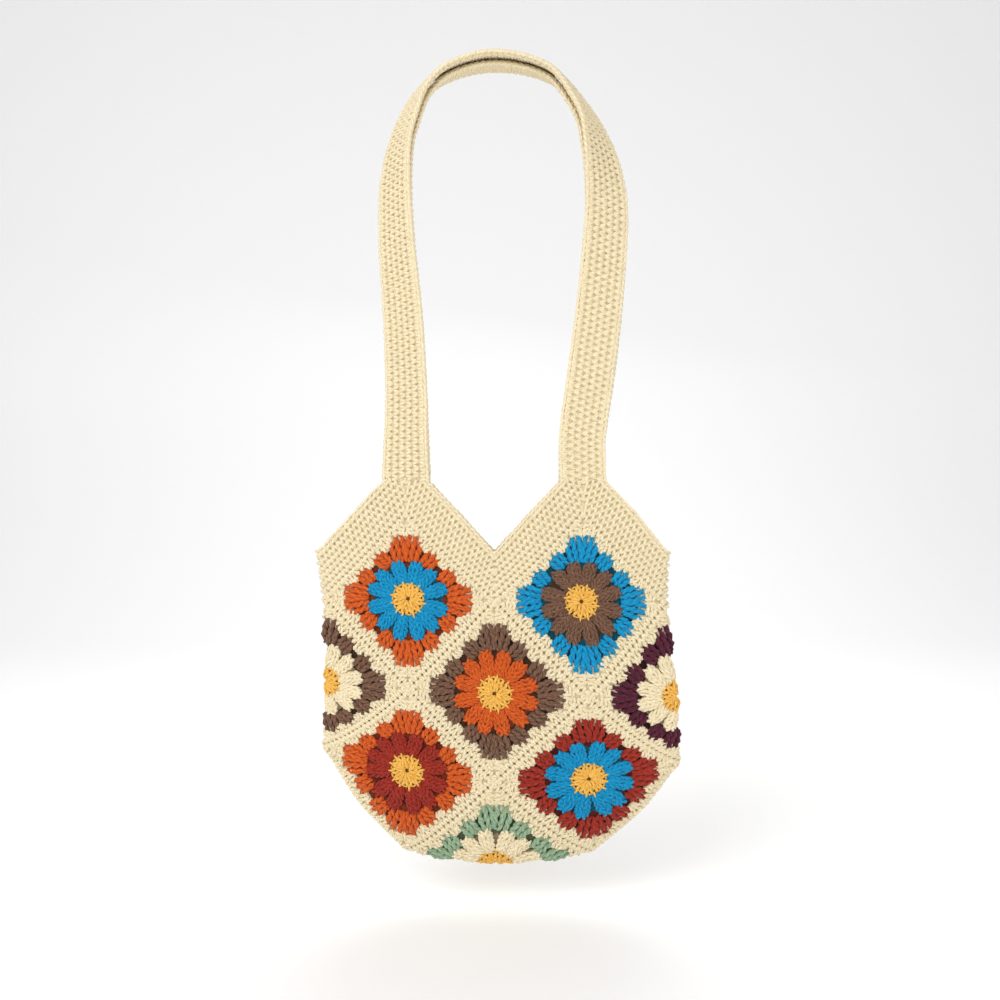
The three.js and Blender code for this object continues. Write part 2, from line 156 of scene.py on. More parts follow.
@dataclass(frozen=True)
class PliedAcrylic:
    """Plied acrylic yarn: three soft plies twisted together.

    It gives the eye a matte, slightly fuzzy strand with slanting ridges where the plies lie.
    Its colour has painted shade in the grooves between the plies and patches of painted light and shade.
    """

    yarn: Yarn
    # Inside the work the yarn's colours are darkened: painted shade on the slab behind the stitches.
    inner: bool = False
    inner_shade: float = 0.28
    plies: int = 3
    # The real plies turn once in about 4 mm and the fibres are 0.02 mm thick. Both are drawn coarser,
    # at 6 mm and 0.5 mm, so that they show.
    ply_pitch: float = 6.0
    fibre_size: float = 0.5
    # The colour is mixed at random, in patches half a stitch wide, between the yarn's shadow and light
    # colours: painted light and shade where the plies catch the light at differing angles.
    painted_patch_size: float = 3.2
    noise_detail: float = 2.0
    ply_relief: float = 0.5
    ridge_painted_shade: float = 0.5
    darkest_tone: float = 0.8
    lightest_tone: float = 1.75
    bump: float = 0.6
    roughness: float = 0.86
    ior: float = 1.5
    gloss: float = 0.25
    sheen: float = 0.12
    sheen_roughness: float = 0.5

    def material(self) -> bpy.types.Material:
        """Builds the finish.

        Returns:
            The material, named for the yarn.
        """
        # The darkened copy is painted shade, for the slab inside the work.
        depth = "_inside_the_work" if self.inner else ""
        made = bpy.data.materials.new(f"plied_acrylic_{self.yarn.name.lower()}{depth}")
        made.use_nodes = True
        tree = made.node_tree
        tree.nodes.clear()
        ridges = self._ply_ridges(tree)
        place = add_node(tree, "ShaderNodeTexCoord").outputs["Object"]
        fibre = add_node(tree, "ShaderNodeTexNoise", {
            "Vector": place, "Scale": 1 / (self.fibre_size * MM), "Detail": self.noise_detail,
            "Roughness": 0.6})
        shade = add_node(tree, "ShaderNodeTexNoise", {
            "Vector": place, "Scale": 1 / (self.painted_patch_size * MM), "Detail": self.noise_detail,
            "Roughness": 0.5})
        # Painted shade in the grooves between the plies and painted light on their crests, added to the
        # random patches of painted light and shade.
        tone = add_node(tree, "ShaderNodeMath", {
            0: ridges, 1: self.ridge_painted_shade, 2: shade.outputs["Fac"]}, operation="MULTIPLY_ADD")
        tone = add_node(tree, "ShaderNodeMath", {
            0: tone.outputs[0], 1: fibre.outputs["Fac"]}, operation="ADD")
        level = add_node(tree, "ShaderNodeMapRange", {
            "Value": tone.outputs[0], "From Min": self.darkest_tone, "From Max": self.lightest_tone})
        # The tone picks between the yarn's shadow and light colours, so the ridges and patches above become
        # painted light and shade in the colour.
        colour = add_node(tree, "ShaderNodeMix", {
            "Factor": level.outputs["Result"], 6: self._shaded(1), 7: self._shaded(2)}, data_type="RGBA")
        height = add_node(tree, "ShaderNodeMath", {
            0: ridges, 1: self.ply_relief, 2: fibre.outputs["Fac"]}, operation="MULTIPLY_ADD")
        bump = add_node(tree, "ShaderNodeBump", {
            "Height": height.outputs[0], "Strength": self.bump, "Distance": self.fibre_size * MM})
        surface = add_node(tree, "ShaderNodeBsdfPrincipled", {
            "Base Color": colour.outputs[2], "Roughness": self.roughness, "IOR": self.ior,
            "Specular IOR Level": self.gloss, "Sheen Weight": self.sheen,
            "Sheen Roughness": self.sheen_roughness, "Normal": bump.outputs["Normal"]})
        add_node(tree, "ShaderNodeOutputMaterial", {"Surface": surface.outputs["BSDF"]})
        return made

    def _shaded(self, column: int) -> tuple[float, float, float, float]:
        """One of the yarn's colours, darker inside the work, where little light reaches it.

        Args:
            column: 1 for the colour in its shadows, 2 for the one in its light.

        Returns:
            The linear colour.
        """
        red, green, blue, alpha = linear(self.yarn.value[column])
        share = self.inner_shade if self.inner else 1.0
        return red * share, green * share ** 1.1, blue * share ** 1.25, alpha

    def _ply_ridges(self, tree: bpy.types.NodeTree) -> bpy.types.NodeSocket:
        """Adds slanting ridges round the strand, from nought to one.

        Args:
            tree: the material's nodes.

        Returns:
            The socket with the ridges' height.
        """
        around = add_node(tree, "ShaderNodeAttribute", attribute_name="around").outputs["Vector"]
        along = add_node(tree, "ShaderNodeAttribute", attribute_name="along").outputs["Fac"]
        parts = add_node(tree, "ShaderNodeSeparateXYZ", {0: around})
        angle = add_node(tree, "ShaderNodeMath", {
            0: parts.outputs["Y"], 1: parts.outputs["X"]}, operation="ARCTAN2")
        turn = add_node(tree, "ShaderNodeMath", {
            0: along, 1: 2 * math.pi / (self.ply_pitch * MM)}, operation="MULTIPLY")
        phase = add_node(tree, "ShaderNodeMath", {
            0: angle.outputs[0], 1: float(self.plies), 2: turn.outputs[0]}, operation="MULTIPLY_ADD")
        wave = add_node(tree, "ShaderNodeMath", {0: phase.outputs[0]}, operation="SINE")
        lifted = add_node(tree, "ShaderNodeMapRange", {"Value": wave.outputs[0], "From Min": -1.0})
        return lifted.outputs["Result"]


class Finishes:
    """The finishes of the bag, one for each yarn, made when first asked for."""

    def __init__(self) -> None:
        """Starts with none made."""
        self._made: dict[tuple[Yarn, bool], bpy.types.Material] = {}

    def of(self, yarn: Yarn, inner: bool = False) -> bpy.types.Material:
        """The finish of a yarn.

        Args:
            yarn: which yarn.
            inner: whether it lies inside the work, behind the stitches, where its colours are darkened as
                painted shade.

        Returns:
            The material, the same one each time.
        """
        if (yarn, inner) not in self._made:
            self._made[yarn, inner] = PliedAcrylic(yarn, inner).material()
        return self._made[yarn, inner]


@dataclass
class YarnSweep:
    """Geometry Nodes that sweep a round yarn along every path of a mesh of paths."""

    wander: float = 0.24
    seed: int = 7
    tree: bpy.types.NodeTree = field(init=False)
    sockets: dict[str, str] = field(init=False)

    def __post_init__(self) -> None:
        """Builds the tree once, with its named inputs."""
        self.tree = bpy.data.node_groups.new("yarn_along_paths", "GeometryNodeTree")
        face = self.tree.interface
        kinds = {"Paths": "NodeSocketGeometry", "Sides": "NodeSocketInt", "Wander": "NodeSocketFloat",
                 "Seed": "NodeSocketInt", "Yarn": "NodeSocketMaterial"}
        self.sockets = {
            name: face.new_socket(name, in_out="INPUT", socket_type=kind).identifier
            for name, kind in kinds.items()}
        face.new_socket("Stitches", in_out="OUTPUT", socket_type="NodeSocketGeometry")
        self._wire()

    def _wire(self) -> None:
        """Adds the tree's nodes."""
        tree = self.tree
        given = add_node(tree, "NodeGroupInput").outputs
        lines = add_node(tree, "GeometryNodeMeshToCurve", {"Mesh": given["Paths"]})
        low = add_node(tree, "ShaderNodeMath", {0: given["Wander"], 1: -1.0}, operation="MULTIPLY")
        stray = add_node(tree, "FunctionNodeRandomValue", {
            "Min": low.outputs[0], "Max": given["Wander"], "Seed": given["Seed"]}, data_type="FLOAT_VECTOR")
        strayed = add_node(tree, "GeometryNodeSetPosition", {
            "Geometry": lines.outputs[0], "Offset": stray.outputs["Value"]})
        thickness = add_node(
            tree, "GeometryNodeInputNamedAttribute", {"Name": "thickness"}, data_type="FLOAT")
        measure = add_node(tree, "GeometryNodeSplineParameter")
        measured = add_node(tree, "GeometryNodeStoreNamedAttribute", {
            "Geometry": strayed.outputs[0], "Name": "along", "Value": measure.outputs["Length"]},
            data_type="FLOAT", domain="POINT")
        ring = add_node(tree, "GeometryNodeCurvePrimitiveCircle", {
            "Resolution": given["Sides"], "Radius": 1.0}, mode="RADIUS")
        place = add_node(tree, "GeometryNodeInputPosition")
        turned = add_node(tree, "GeometryNodeStoreNamedAttribute", {
            "Geometry": ring.outputs["Curve"], "Name": "around", "Value": place.outputs[0]},
            data_type="FLOAT_VECTOR", domain="POINT")
        swept = add_node(tree, "GeometryNodeCurveToMesh", {
            "Curve": measured.outputs[0], "Profile Curve": turned.outputs[0],
            "Scale": thickness.outputs["Attribute"], "Fill Caps": True})
        smooth = add_node(tree, "GeometryNodeSetShadeSmooth", {"Geometry": swept.outputs[0]})
        real = add_node(tree, "GeometryNodeRealizeInstances", {"Geometry": smooth.outputs[0]})
        dressed = add_node(tree, "GeometryNodeSetMaterial", {
            "Geometry": real.outputs[0], "Material": given["Yarn"]})
        add_node(tree, "NodeGroupOutput", {"Stitches": dressed.outputs[0]})

    def sweep(self, name: str, paths: "Paths", finish: bpy.types.Material,
              sides: int = 4) -> bpy.types.Mesh:
        """Sweeps yarn along the paths.

        Args:
            name: what the mesh is called.
            paths: the paths, in millimetres.
            finish: the yarn's material.
            sides: how many sides the yarn's section has.

        Returns:
            The swept mesh, in metres.
        """
        holder = bpy.data.objects.new(name, paths.mesh(name))
        bpy.context.scene.collection.objects.link(holder)
        modifier = holder.modifiers.new("yarn", "NODES")
        modifier.node_group = self.tree
        values = {"Sides": sides, "Wander": self.wander * MM, "Seed": self.seed, "Yarn": finish}
        for label, value in values.items():
            modifier[self.sockets[label]] = value
        graph = bpy.context.evaluated_depsgraph_get()
        mesh = bpy.data.meshes.new_from_object(
            holder.evaluated_get(graph), preserve_all_data_layers=True, depsgraph=graph)
        rough = holder.data
        bpy.data.objects.remove(holder)
        bpy.data.meshes.remove(rough)
        return mesh


@dataclass
class Paths:
    """Paths of yarn, in millimetres, with the yarn's half thickness at each point."""

    points: list[Array] = field(default_factory=list)
    radii: list[Array] = field(default_factory=list)

    def add(self, points: Array, radii: Array) -> None:
        """Adds paths of equal length.

        Args:
            points: paths by points by three.
            radii: the half thickness along a path, or one row for each path.
        """
        self.points.append(points)
        self.radii.append(np.broadcast_to(radii, points.shape[:2]))

    def mesh(self, name: str) -> bpy.types.Mesh:
        """The paths as a mesh of edges.

        Args:
            name: what the mesh is called.

        Returns:
            The mesh, in metres, with a thickness at each point.
        """
        edges, first = [], 0
        for block in self.points:
            number = np.arange(block.shape[0] * block.shape[1]).reshape(block.shape[:2]) + first
            edges.append(np.stack([number[:, :-1].ravel(), number[:, 1:].ravel()], 1))
            first += number.size
        made = bpy.data.meshes.new(name)
        vertices = np.concatenate([block.reshape(-1, 3) for block in self.points]) * MM
        made.from_pydata(vertices.tolist(), np.concatenate(edges).tolist(), [])
        thickness = made.attributes.new("thickness", "FLOAT", "POINT")
        thickness.data.foreach_set("value", np.concatenate([r.ravel() for r in self.radii]) * MM)
        return made


@dataclass(frozen=True)
class Square:
    """A granny square: its name, the lattice place of its centre and its two coloured rounds."""

    name: str
    column: float
    row: float
    petals: Yarn
    clusters: Yarn

    @property
    def back(self) -> bool:
        """Whether it is on the bag's back."""
        return abs(self.column) > 2


SQUARES = (
    Square("front_top_left", -1, 0, Yarn.TURQUOISE, Yarn.ORANGE),
    Square("front_top_right", 1, 0, Yarn.BROWN, Yarn.TURQUOISE),
    Square("front_middle", 0, -1, Yarn.ORANGE, Yarn.BROWN),
    Square("side_left", -2, -1, Yarn.CREAM, Yarn.BROWN),
    Square("side_right", 2, -1, Yarn.CREAM, Yarn.BURGUNDY),
    Square("front_lower_left", -1, -2, Yarn.RUST_RED, Yarn.ORANGE),
    Square("front_lower_right", 1, -2, Yarn.TURQUOISE, Yarn.RUST_RED),
    Square("bottom", 0, -3, Yarn.CREAM, Yarn.SAGE),
    Square("back_top_left", -3, 0, Yarn.RUST_RED, Yarn.BROWN),
    Square("back_top_right", 3, 0, Yarn.TURQUOISE, Yarn.ORANGE),
    Square("back_middle", 4, -1, Yarn.CREAM, Yarn.TURQUOISE),
    Square("back_lower_left", -3, -2, Yarn.ORANGE, Yarn.SAGE),
    Square("back_lower_right", 3, -2, Yarn.BROWN, Yarn.BURGUNDY),
)


@dataclass
class SquareSizes:
    """The rounds of a granny square, which add up to half its side."""

    centre_radius: float = 16.5
    petals: int = 12
    petal_length: float = 24.0
    cluster_length: float = 11.5
    surround_width: float = 9.5

    @property
    def petal_tip(self) -> float:
        """How far the petals reach from the middle."""
        return self.centre_radius + self.petal_length

    @property
    def cluster_top(self) -> float:
        """How far the clusters along a side reach from the middle."""
        return self.petal_tip + self.cluster_length

    @property
    def half_side(self) -> float:
        """Half the side of the square."""
        return self.cluster_top + self.surround_width

    @property
    def half_diagonal(self) -> float:
        """Half the diagonal, which is one step of the lattice."""
        return self.half_side * math.sqrt(2)


def ellipse_quarter(a: Array, b: Array, steps: int = 96) -> Array:
    """Lengths along a quarter of an ellipse from the end of axis a to the end of axis b.

    Args:
        a: half axes.
        b: the other half axes.
        steps: how many chords each quarter is measured by.

    Returns:
        For each ellipse, the lengths at each step.
    """
    angle = np.linspace(0, math.pi / 2, steps + 1)
    x, y = np.multiply.outer(a, np.cos(angle)), np.multiply.outer(b, np.sin(angle))
    chords = np.hypot(np.diff(x, axis=-1), np.diff(y, axis=-1))
    return np.concatenate([np.zeros((*np.shape(a), 1)), np.cumsum(chords, axis=-1)], axis=-1)


@dataclass
class HangingWall:
    """The bag's wall: a lattice of squares laid on the shape that it hangs in.

    One step of the lattice is half a square's diagonal. Column 0 is the middle of the front, 2 the side
    fold and 4 the middle of the back. Row 1 is the peaks of the top squares and -3 the bottom fold.
    """

    sizes: SquareSizes = field(default_factory=SquareSizes)
    wall: float = 5.0
    side_column: float = 2.0
    peak_row: float = 1.0
    taper_row: float = -2.0
    fold_row: float = -3.0
    inner_half_depth: float = 20.0
    side_lift: float = 50.0
    side_lean: float = 8.0
    side_sway: float = 7.0
    border_width: float = 34.0
    strap_width: float = 41.5
    strap_drop: float = 412.0
    row_step: float = 0.004
    rows_past_foot: float = 0.2
    normal_step: float = 0.01

    HANG = (
        dict(row=1.3, drop=-0.079, depth=0.3, lift=0, lean=0, sway=0, stretch=1),
        dict(row=1, drop=0, depth=0.4, lift=0, lean=0, sway=0, stretch=1),
        dict(row=0.55, drop=0.122, depth=0.55, lift=0, lean=0.1, sway=-0.2, stretch=0.985),
        dict(row=0, drop=0.25, depth=0.75, lift=0, lean=0.35, sway=0.1, stretch=0.968),
        dict(row=-1, drop=0.507, depth=1, lift=0.01, lean=1, sway=1, stretch=1),
        dict(row=-2, drop=0.75, depth=1.03, lift=0.44, lean=1, sway=1, stretch=1.01),
        dict(row=-2.5, drop=0.87, depth=0.89, lift=0.52, lean=0.6, sway=1.1, stretch=1.065),
        dict(row=-3, drop=1, depth=0, lift=0.9, lean=0.2, sway=1.3, stretch=1.06),
        dict(row=-3.5, drop=0.87, depth=0.89, lift=0.52, lean=0.6, sway=1.1, stretch=1.065),
    )

    def __post_init__(self) -> None:
        """Works out the sections at closely spaced rows."""
        top = self.foot_row + self.rows_past_foot
        self.rows = np.arange(self.fold_row, top + self.row_step, self.row_step)
        read = {name: read_table(self.HANG, "row", name, self.rows)
                for name in ("drop", "depth", "lift", "lean", "sway", "stretch")}
        body_drop = (self.peak_row - self.fold_row) * self.sizes.half_diagonal
        foot_drop = float(read_table(self.HANG, "row", "drop", np.array(self.foot_row))) * body_drop
        drop, depth = read["drop"] * body_drop, read["depth"] * self.inner_half_depth
        taper = {name: float(read_table(self.HANG, "row", name, np.array(self.taper_row)))
                 for name in ("drop", "depth")}
        start, start_depth = taper["drop"] * body_drop, taper["depth"] * self.inner_half_depth
        rest = body_drop - self.wall - start
        nose = ellipse_quarter(np.array(start_depth), np.array(rest))
        angles = np.linspace(0, math.pi / 2, nose.shape[-1])
        angle = np.interp((self.taper_row - self.rows) * nose[-1], nose, angles)
        nosed = self.rows < self.taper_row
        self.drop = np.where(nosed, start + rest * np.sin(angle), drop)
        self.depth = np.where(nosed, start_depth * np.cos(angle), depth)
        self.columns = np.minimum(self.side_column, self.rows - self.fold_row + 1)
        length = self.columns * self.sizes.half_diagonal * read["stretch"]
        self.width = self._solve_half_width(self.depth, length)
        self.height = foot_drop - self.strap_drop - self.drop
        self.lift = read["lift"] * self.side_lift
        self.lean = read["lean"] * self.side_lean
        self.sway = read["sway"] * self.side_sway
        lengths = ellipse_quarter(self.depth, self.width)
        self.shares = np.linspace(0, 1, lengths.shape[-1])
        self.turns = np.stack([np.interp(self.shares * row[-1], row, angles) for row in lengths])

    @property
    def foot_row(self) -> float:
        """The row where the border is cut level under a strap."""
        over = self.border_width * math.sqrt(2) - self.strap_width / 2
        return self.peak_row + over / self.sizes.half_diagonal

    @staticmethod
    def _solve_half_width(depth: Array, length: Array, halvings: int = 40) -> Array:
        """The half widths at which a quarter of each section has its length.

        Args:
            depth: each section's half depth.
            length: how long a quarter of it is to be.
            halvings: how often the range that holds the answer is halved.

        Returns:
            The half widths.
        """
        low, high = np.zeros_like(length), length.copy()
        for _ in range(halvings):
            middle = (low + high) / 2
            over = ellipse_quarter(depth, middle)[:, -1] > length
            high, low = np.where(over, middle, high), np.where(over, low, middle)
        return (low + high) / 2

    def _inner(self, row: Array, turn: Array) -> Array:
        """Points of the wall's inner face.

        Args:
            row: lattice rows.
            turn: turns round the bag from the middle of the front, in radians.

        Returns:
            The points, with a last axis of three.
        """
        def at(values: Array) -> Array:
            """Reads a list of values at the rows."""
            return np.interp(row, self.rows, values)
        x, y = at(self.width) * np.sin(turn), -at(self.depth) * np.cos(turn)
        share = x / (self.side_column * self.sizes.half_diagonal)
        rise = at(self.lift) * share ** 2 - at(self.lean) * share
        return np.stack([x + at(self.sway) * np.abs(share), y, at(self.height) + rise], -1)

    def _turn(self, column: Array, row: Array) -> Array:
        """The turn round the bag at lattice places.

        Args:
            column: lattice columns.
            row: lattice rows.

        Returns:
            The turns from the middle of the front, in radians.
        """
        loop = 2 * self.side_column
        wrapped = np.mod(column + loop, 2 * loop) - loop
        away = np.abs(wrapped)
        back = away > self.side_column
        columns = np.interp(row, self.rows, self.columns)
        share = np.minimum(np.where(back, loop - away, away) / columns, 1)
        # Just short of the last row and share, so that each has a next one.
        i = np.clip((row - self.rows[0]) / self.row_step, 0, len(self.rows) - 1.001)
        j = np.clip(share * (len(self.shares) - 1), 0, len(self.shares) - 1.001)
        i0, j0 = i.astype(int), j.astype(int)
        fi, fj = i - i0, j - j0
        quarter = ((1 - fi) * ((1 - fj) * self.turns[i0, j0] + fj * self.turns[i0, j0 + 1])
                   + fi * ((1 - fj) * self.turns[i0 + 1, j0] + fj * self.turns[i0 + 1, j0 + 1]))
        sign = np.where(wrapped < 0, -1.0, 1.0)
        return sign * np.where(back, math.pi - quarter, quarter)

    def place(self, column: Array, row: Array, out: Array) -> Array:
        """Points of the wall, in millimetres.

        Args:
            column: lattice columns.
            row: lattice rows. Below the fold row they are on the back.
            out: how far out from the wall's inner face.

        Returns:
            The points, with a last axis of three.
        """
        column, row, out = np.broadcast_arrays(
            np.asarray(column, float), np.asarray(row, float), np.asarray(out, float))
        under = row < self.fold_row
        row = np.where(under, 2 * self.fold_row - row, row)
        turn = self._turn(column, row)
        step = self.normal_step
        low = np.maximum(row - step, self.fold_row + self.row_step)
        high = low + step
        across = self._inner(high, turn + step) - self._inner(high, turn - step)
        upward = self._inner(high, turn) - self._inner(low, turn)
        normal = np.cross(across, upward)
        normal /= np.linalg.norm(normal, axis=-1, keepdims=True)
        point = self._inner(row, turn) + normal * out[..., None]
        point[..., 1] = np.where(under, -point[..., 1], point[..., 1])
        return point

    def square_chart(self, square: Square) -> Chart:
        """A chart of a square.

        Args:
            square: which square.

        Returns:
            A function of millimetres along its two sides from its centre, and out of the wall.
        """
        step = self.sizes.half_diagonal * math.sqrt(2)

        def chart(p: Array, q: Array, out: Array) -> Array:
            """Points of the wall at places on the square."""
            return self.place(square.column + (p + q) / step, square.row + (q - p) / step, out)
        return chart

    def slope_chart(self, valley: float, side: int) -> Chart:
        """A chart of one slope of the border.

        Args:
            valley: the lattice column that the slope starts from.
            side: which way it rises, 1 or -1.

        Returns:
            A function of millimetres up the slope, out from the squares and out of the wall.
        """
        step = self.sizes.half_diagonal * math.sqrt(2)

        def chart(s: Array, t: Array, out: Array) -> Array:
            """Points of the wall at places on the slope."""
            return self.place(valley + side * (s - t) / step, (s + t) / step, out)
        return chart


def outward(points: Array, quads: Array) -> Array:
    """Turns a closed slab's faces outwards, as a chart may be a mirrored one.

    Args:
        points: the corners of the slab.
        quads: for each face its four corners, all wound one way.

    Returns:
        The faces, wound the other way where the slab's volume came out below nothing.
    """
    a, b, c, d = (points[quads[:, corner]] for corner in range(4))
    volume = np.einsum("ij,ij->", a, np.cross(b, c)) + np.einsum("ij,ij->", a, np.cross(c, d))
    return quads if volume > 0 else quads[:, ::-1]


@dataclass
class Ground:
    """The dense inside of the work: a closed slab under the stitches, on the cells that are kept."""

    low: float = 0.8
    high: float = 2.9

    def mesh(self, name: str, chart: Chart, a: Array, b: Array, keep: Array) -> bpy.types.Mesh:
        """Builds the slab.

        Args:
            name: what the mesh is called.
            chart: where the cells' corners lie.
            a: the corners' first coordinates.
            b: the corners' second coordinates.
            keep: for each cell whether it is there.

        Returns:
            The slab, in metres.
        """
        corner_a, corner_b = np.meshgrid(a, b, indexing="ij")
        number = np.arange(corner_a.size).reshape(corner_a.shape)
        outer = chart(corner_a, corner_b, np.full(corner_a.shape, self.high)).reshape(-1, 3)
        inner = chart(corner_a, corner_b, np.full(corner_a.shape, self.low)).reshape(-1, 3)
        under = corner_a.size
        ring = [number[:-1, :-1][keep], number[1:, :-1][keep], number[1:, 1:][keep], number[:-1, 1:][keep]]
        faces = [np.stack(ring, 1), np.stack(ring[::-1], 1) + under]
        padded = np.pad(keep, 1)
        sides = ((0, -1, number[:-1, :-1], number[:-1, 1:]), (0, 1, number[1:, 1:], number[1:, :-1]),
                 (1, -1, number[1:, :-1], number[:-1, :-1]), (1, 1, number[:-1, 1:], number[1:, 1:]))
        for axis, way, first, second in sides:
            beside = np.roll(padded, -way, axis)[1:-1, 1:-1]
            edge = keep & ~beside
            faces.append(np.stack([first[edge], second[edge], second[edge] + under, first[edge] + under], 1))
        faces = np.concatenate(faces)
        used, packed = np.unique(faces, return_inverse=True)
        points = np.concatenate([outer, inner])[used] * MM
        faces = outward(points, packed.reshape(faces.shape))
        made = bpy.data.meshes.new(name)
        made.from_pydata(points.tolist(), [], faces.tolist())
        made.update()
        return made


@dataclass
class Stitches:
    """The stitches of the bag, each as yarn paths in a chart's own millimetres.

    A strand's table has a row for each point: how far it lies across and up the stitch, as shares of the
    stitch's width and height, how far out of the wall in millimetres, and its thickness as a share.
    """

    yarn_radius: float = 1.42
    pitch: float = 5.8
    strand_apart: float = 0.8
    post_end: float = 0.72
    post_swell: float = 0.4
    seed: int = 11

    LEG = (
        dict(across=0.02, up=-0.56, out=2.4, thick=0.75),
        dict(across=0.12, up=-0.22, out=4.3, thick=1.1),
        dict(across=0.29, up=0.14, out=4.8, thick=1.15),
        dict(across=0.4, up=0.46, out=3.2, thick=0.8),
    )
    TOP_LOOP = (
        dict(across=-0.52, up=0.38, out=2.4, thick=0.6),
        dict(across=-0.2, up=0.56, out=3.5, thick=0.8),
        dict(across=0.2, up=0.56, out=3.5, thick=0.8),
        dict(across=0.52, up=0.38, out=2.4, thick=0.6),
    )
    CHAIN_LOOP = (
        dict(across=0.04, up=-0.6, out=3.2, thick=0.75),
        dict(across=0.28, up=-0.2, out=4.4, thick=1.0),
        dict(across=0.32, up=0.3, out=4.9, thick=1.1),
        dict(across=0.05, up=0.68, out=4.2, thick=0.8),
    )

    def __post_init__(self) -> None:
        """Starts the draws from a fixed seed."""
        self.random = np.random.default_rng(self.seed)

    def lay(self, paths: Paths, chart: Chart, centres: Array, upward: Array, strand: Sequence[dict],
            width: float = 1.0, height: float = 1.0, lift: float = 0.0, thick: float = 1.0,
            play: float = 0.04) -> None:
        """Lays one strand of a stitch at many places.

        Args:
            paths: what the strands are added to.
            chart: the surface that they lie on.
            centres: places by two, in the chart.
            upward: for each place the way up the stitch, as a unit vector in the chart.
            strand: the strand's table.
            width: the stitch's width. Below nothing it is the mirrored strand.
            height: the stitch's height.
            lift: how much further out of the wall than its table says it lies.
            thick: its thickness as a share of the yarn's.
            play: how unevenly the stitches are worked, as a share of their size.
        """
        across, up, out, share = (np.array([point[name] for point in strand], float)
                                  for name in ("across", "up", "out", "thick"))
        grown = 1 + play * self.random.standard_normal((len(centres), 1))
        beside, along = width * across * grown, height * up * grown
        a = centres[:, 0:1] + upward[:, 1:2] * beside + upward[:, 0:1] * along
        b = centres[:, 1:2] - upward[:, 0:1] * beside + upward[:, 1:2] * along
        paths.add(chart(a, b, np.broadcast_to(out + lift, a.shape)), self.yarn_radius * thick * share)

    def single(self, paths: Paths, chart: Chart, centres: Array, upward: Array, lift: float = 0.0,
               width: float | None = None, height: float | None = None, thick: float = 1.0,
               loop_shows: bool = True) -> None:
        """Single crochet: two legs that open upwards and, where it isn't covered, the loop over them.

        Args:
            paths: what the strands are added to.
            chart: the surface that they lie on.
            centres: the stitches' middles.
            upward: the way up each stitch.
            lift: how much further out of the wall than usual they lie.
            width: the stitch's width.
            height: the stitch's height.
            thick: the strands' thickness as a share of the yarn's.
            loop_shows: whether the next row leaves the top loop in sight.
        """
        width, height = width or self.pitch, height or self.pitch
        for side in (-1, 1):
            self.lay(paths, chart, centres, upward, self.LEG, side * width, height, lift, thick)
        if loop_shows:
            self.lay(paths, chart, centres, upward, self.TOP_LOOP, width, height, lift, thick)

    @staticmethod
    def underside(chart: Chart, thickness: float) -> Chart:
        """The chart of a cloth's other side.

        Args:
            chart: the chart of its outer side.
            thickness: how thick the cloth is.

        Returns:
            The same chart with its last argument measured inwards from the outer face.
        """
        def inner(a: Array, b: Array, out: Array) -> Array:
            """Points of the cloth's other side."""
            return chart(a, b, thickness - out)
        return inner

    def chain(self, paths: Paths, chart: Chart, centres: Array, upward: Array, lift: float = 0.0,
              thick: float = 1.1) -> None:
        """A chain edge: slanting loops that overlap along the edge.

        Args:
            paths: what the strands are added to.
            chart: the surface that they lie on.
            centres: the loops' middles.
            upward: the way along the edge at each of them.
            lift: how much further out of the wall than usual they lie.
            thick: the strands' thickness as a share of the yarn's.
        """
        for side in (-1, 1):
            self.lay(paths, chart, centres, upward, self.CHAIN_LOOP, side * self.pitch, self.pitch,
                     lift, thick)

    def post(self, paths: Paths, chart: Chart, foot: Array, top: Array, depth: float = 3.4,
             thick: float = 1.0, twists: float = 0.7, rise: float = 1.1, points: int = 6) -> None:
        """Posts of long stitches: two strands that twist round each other from foot to top.

        Args:
            paths: what the strands are added to.
            chart: the surface that they lie on.
            foot: where each post starts.
            top: where each post ends.
            depth: how far out of the wall its ends lie.
            thick: the strands' thickness as a share of the yarn's.
            twists: how many times they go round each other.
            rise: how far the post swells out of the wall in its middle.
            points: how many points each strand has.
        """
        radius = self.yarn_radius * thick
        t = np.linspace(0, 1, points)
        way = top - foot
        length = np.linalg.norm(way, axis=1, keepdims=True)
        beside = np.stack([way[:, 1], -way[:, 0]], 1) / length
        start = self.random.uniform(0, 2 * math.pi, (len(foot), 1))
        swell = np.sin(math.pi * t)
        hand = self.random.choice([-1.0, 1.0], (len(foot), 1))
        for strand in (0, 1):
            phase = start + hand * 2 * math.pi * twists * t + math.pi * strand
            sway = self.strand_apart * radius * np.cos(phase)
            out = depth + self.strand_apart * radius * np.sin(phase) + rise * swell
            a = foot[:, 0:1] + way[:, 0:1] * t + beside[:, 0:1] * sway
            b = foot[:, 1:2] + way[:, 1:2] * t + beside[:, 1:2] * sway
            paths.add(chart(a, b, out), radius * (self.post_end + self.post_swell * swell ** 0.5))


def turned(places: Array, quarter: int) -> Array:
    """Turns places round a square's centre.

    Args:
        places: places by two, in the square's chart.
        quarter: by how many quarter turns.

    Returns:
        The turned places.
    """
    angle = quarter * math.pi / 2
    c, s = round(math.cos(angle)), round(math.sin(angle))
    return places @ np.array([[c, s], [-s, c]])


def spokes(angle: Array) -> Array:
    """Unit vectors of a chart, away from a square's centre at angles round it."""
    return np.stack([np.cos(angle), np.sin(angle)], 1)


def piece(mesh: bpy.types.Mesh, name: str, nodes: Sequence[str], yarn: Yarn) -> bpy.types.Object:
    """Puts a finished mesh in the scene as a piece of the bag.

    Args:
        mesh: the mesh, in its place.
        name: the piece's name.
        nodes: the nodes that it stands for.
        yarn: what it is made of. It is not used.

    Returns:
        The piece.
    """
    made = bpy.data.objects.new(name, mesh)
    mesh.name = name
    bpy.context.scene.collection.objects.link(made)
    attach(made, "root")
    if nodes:
        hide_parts(*nodes)
    yarn.slot
    LOG.info("%s: %d faces", name, len(mesh.polygons))
    return made


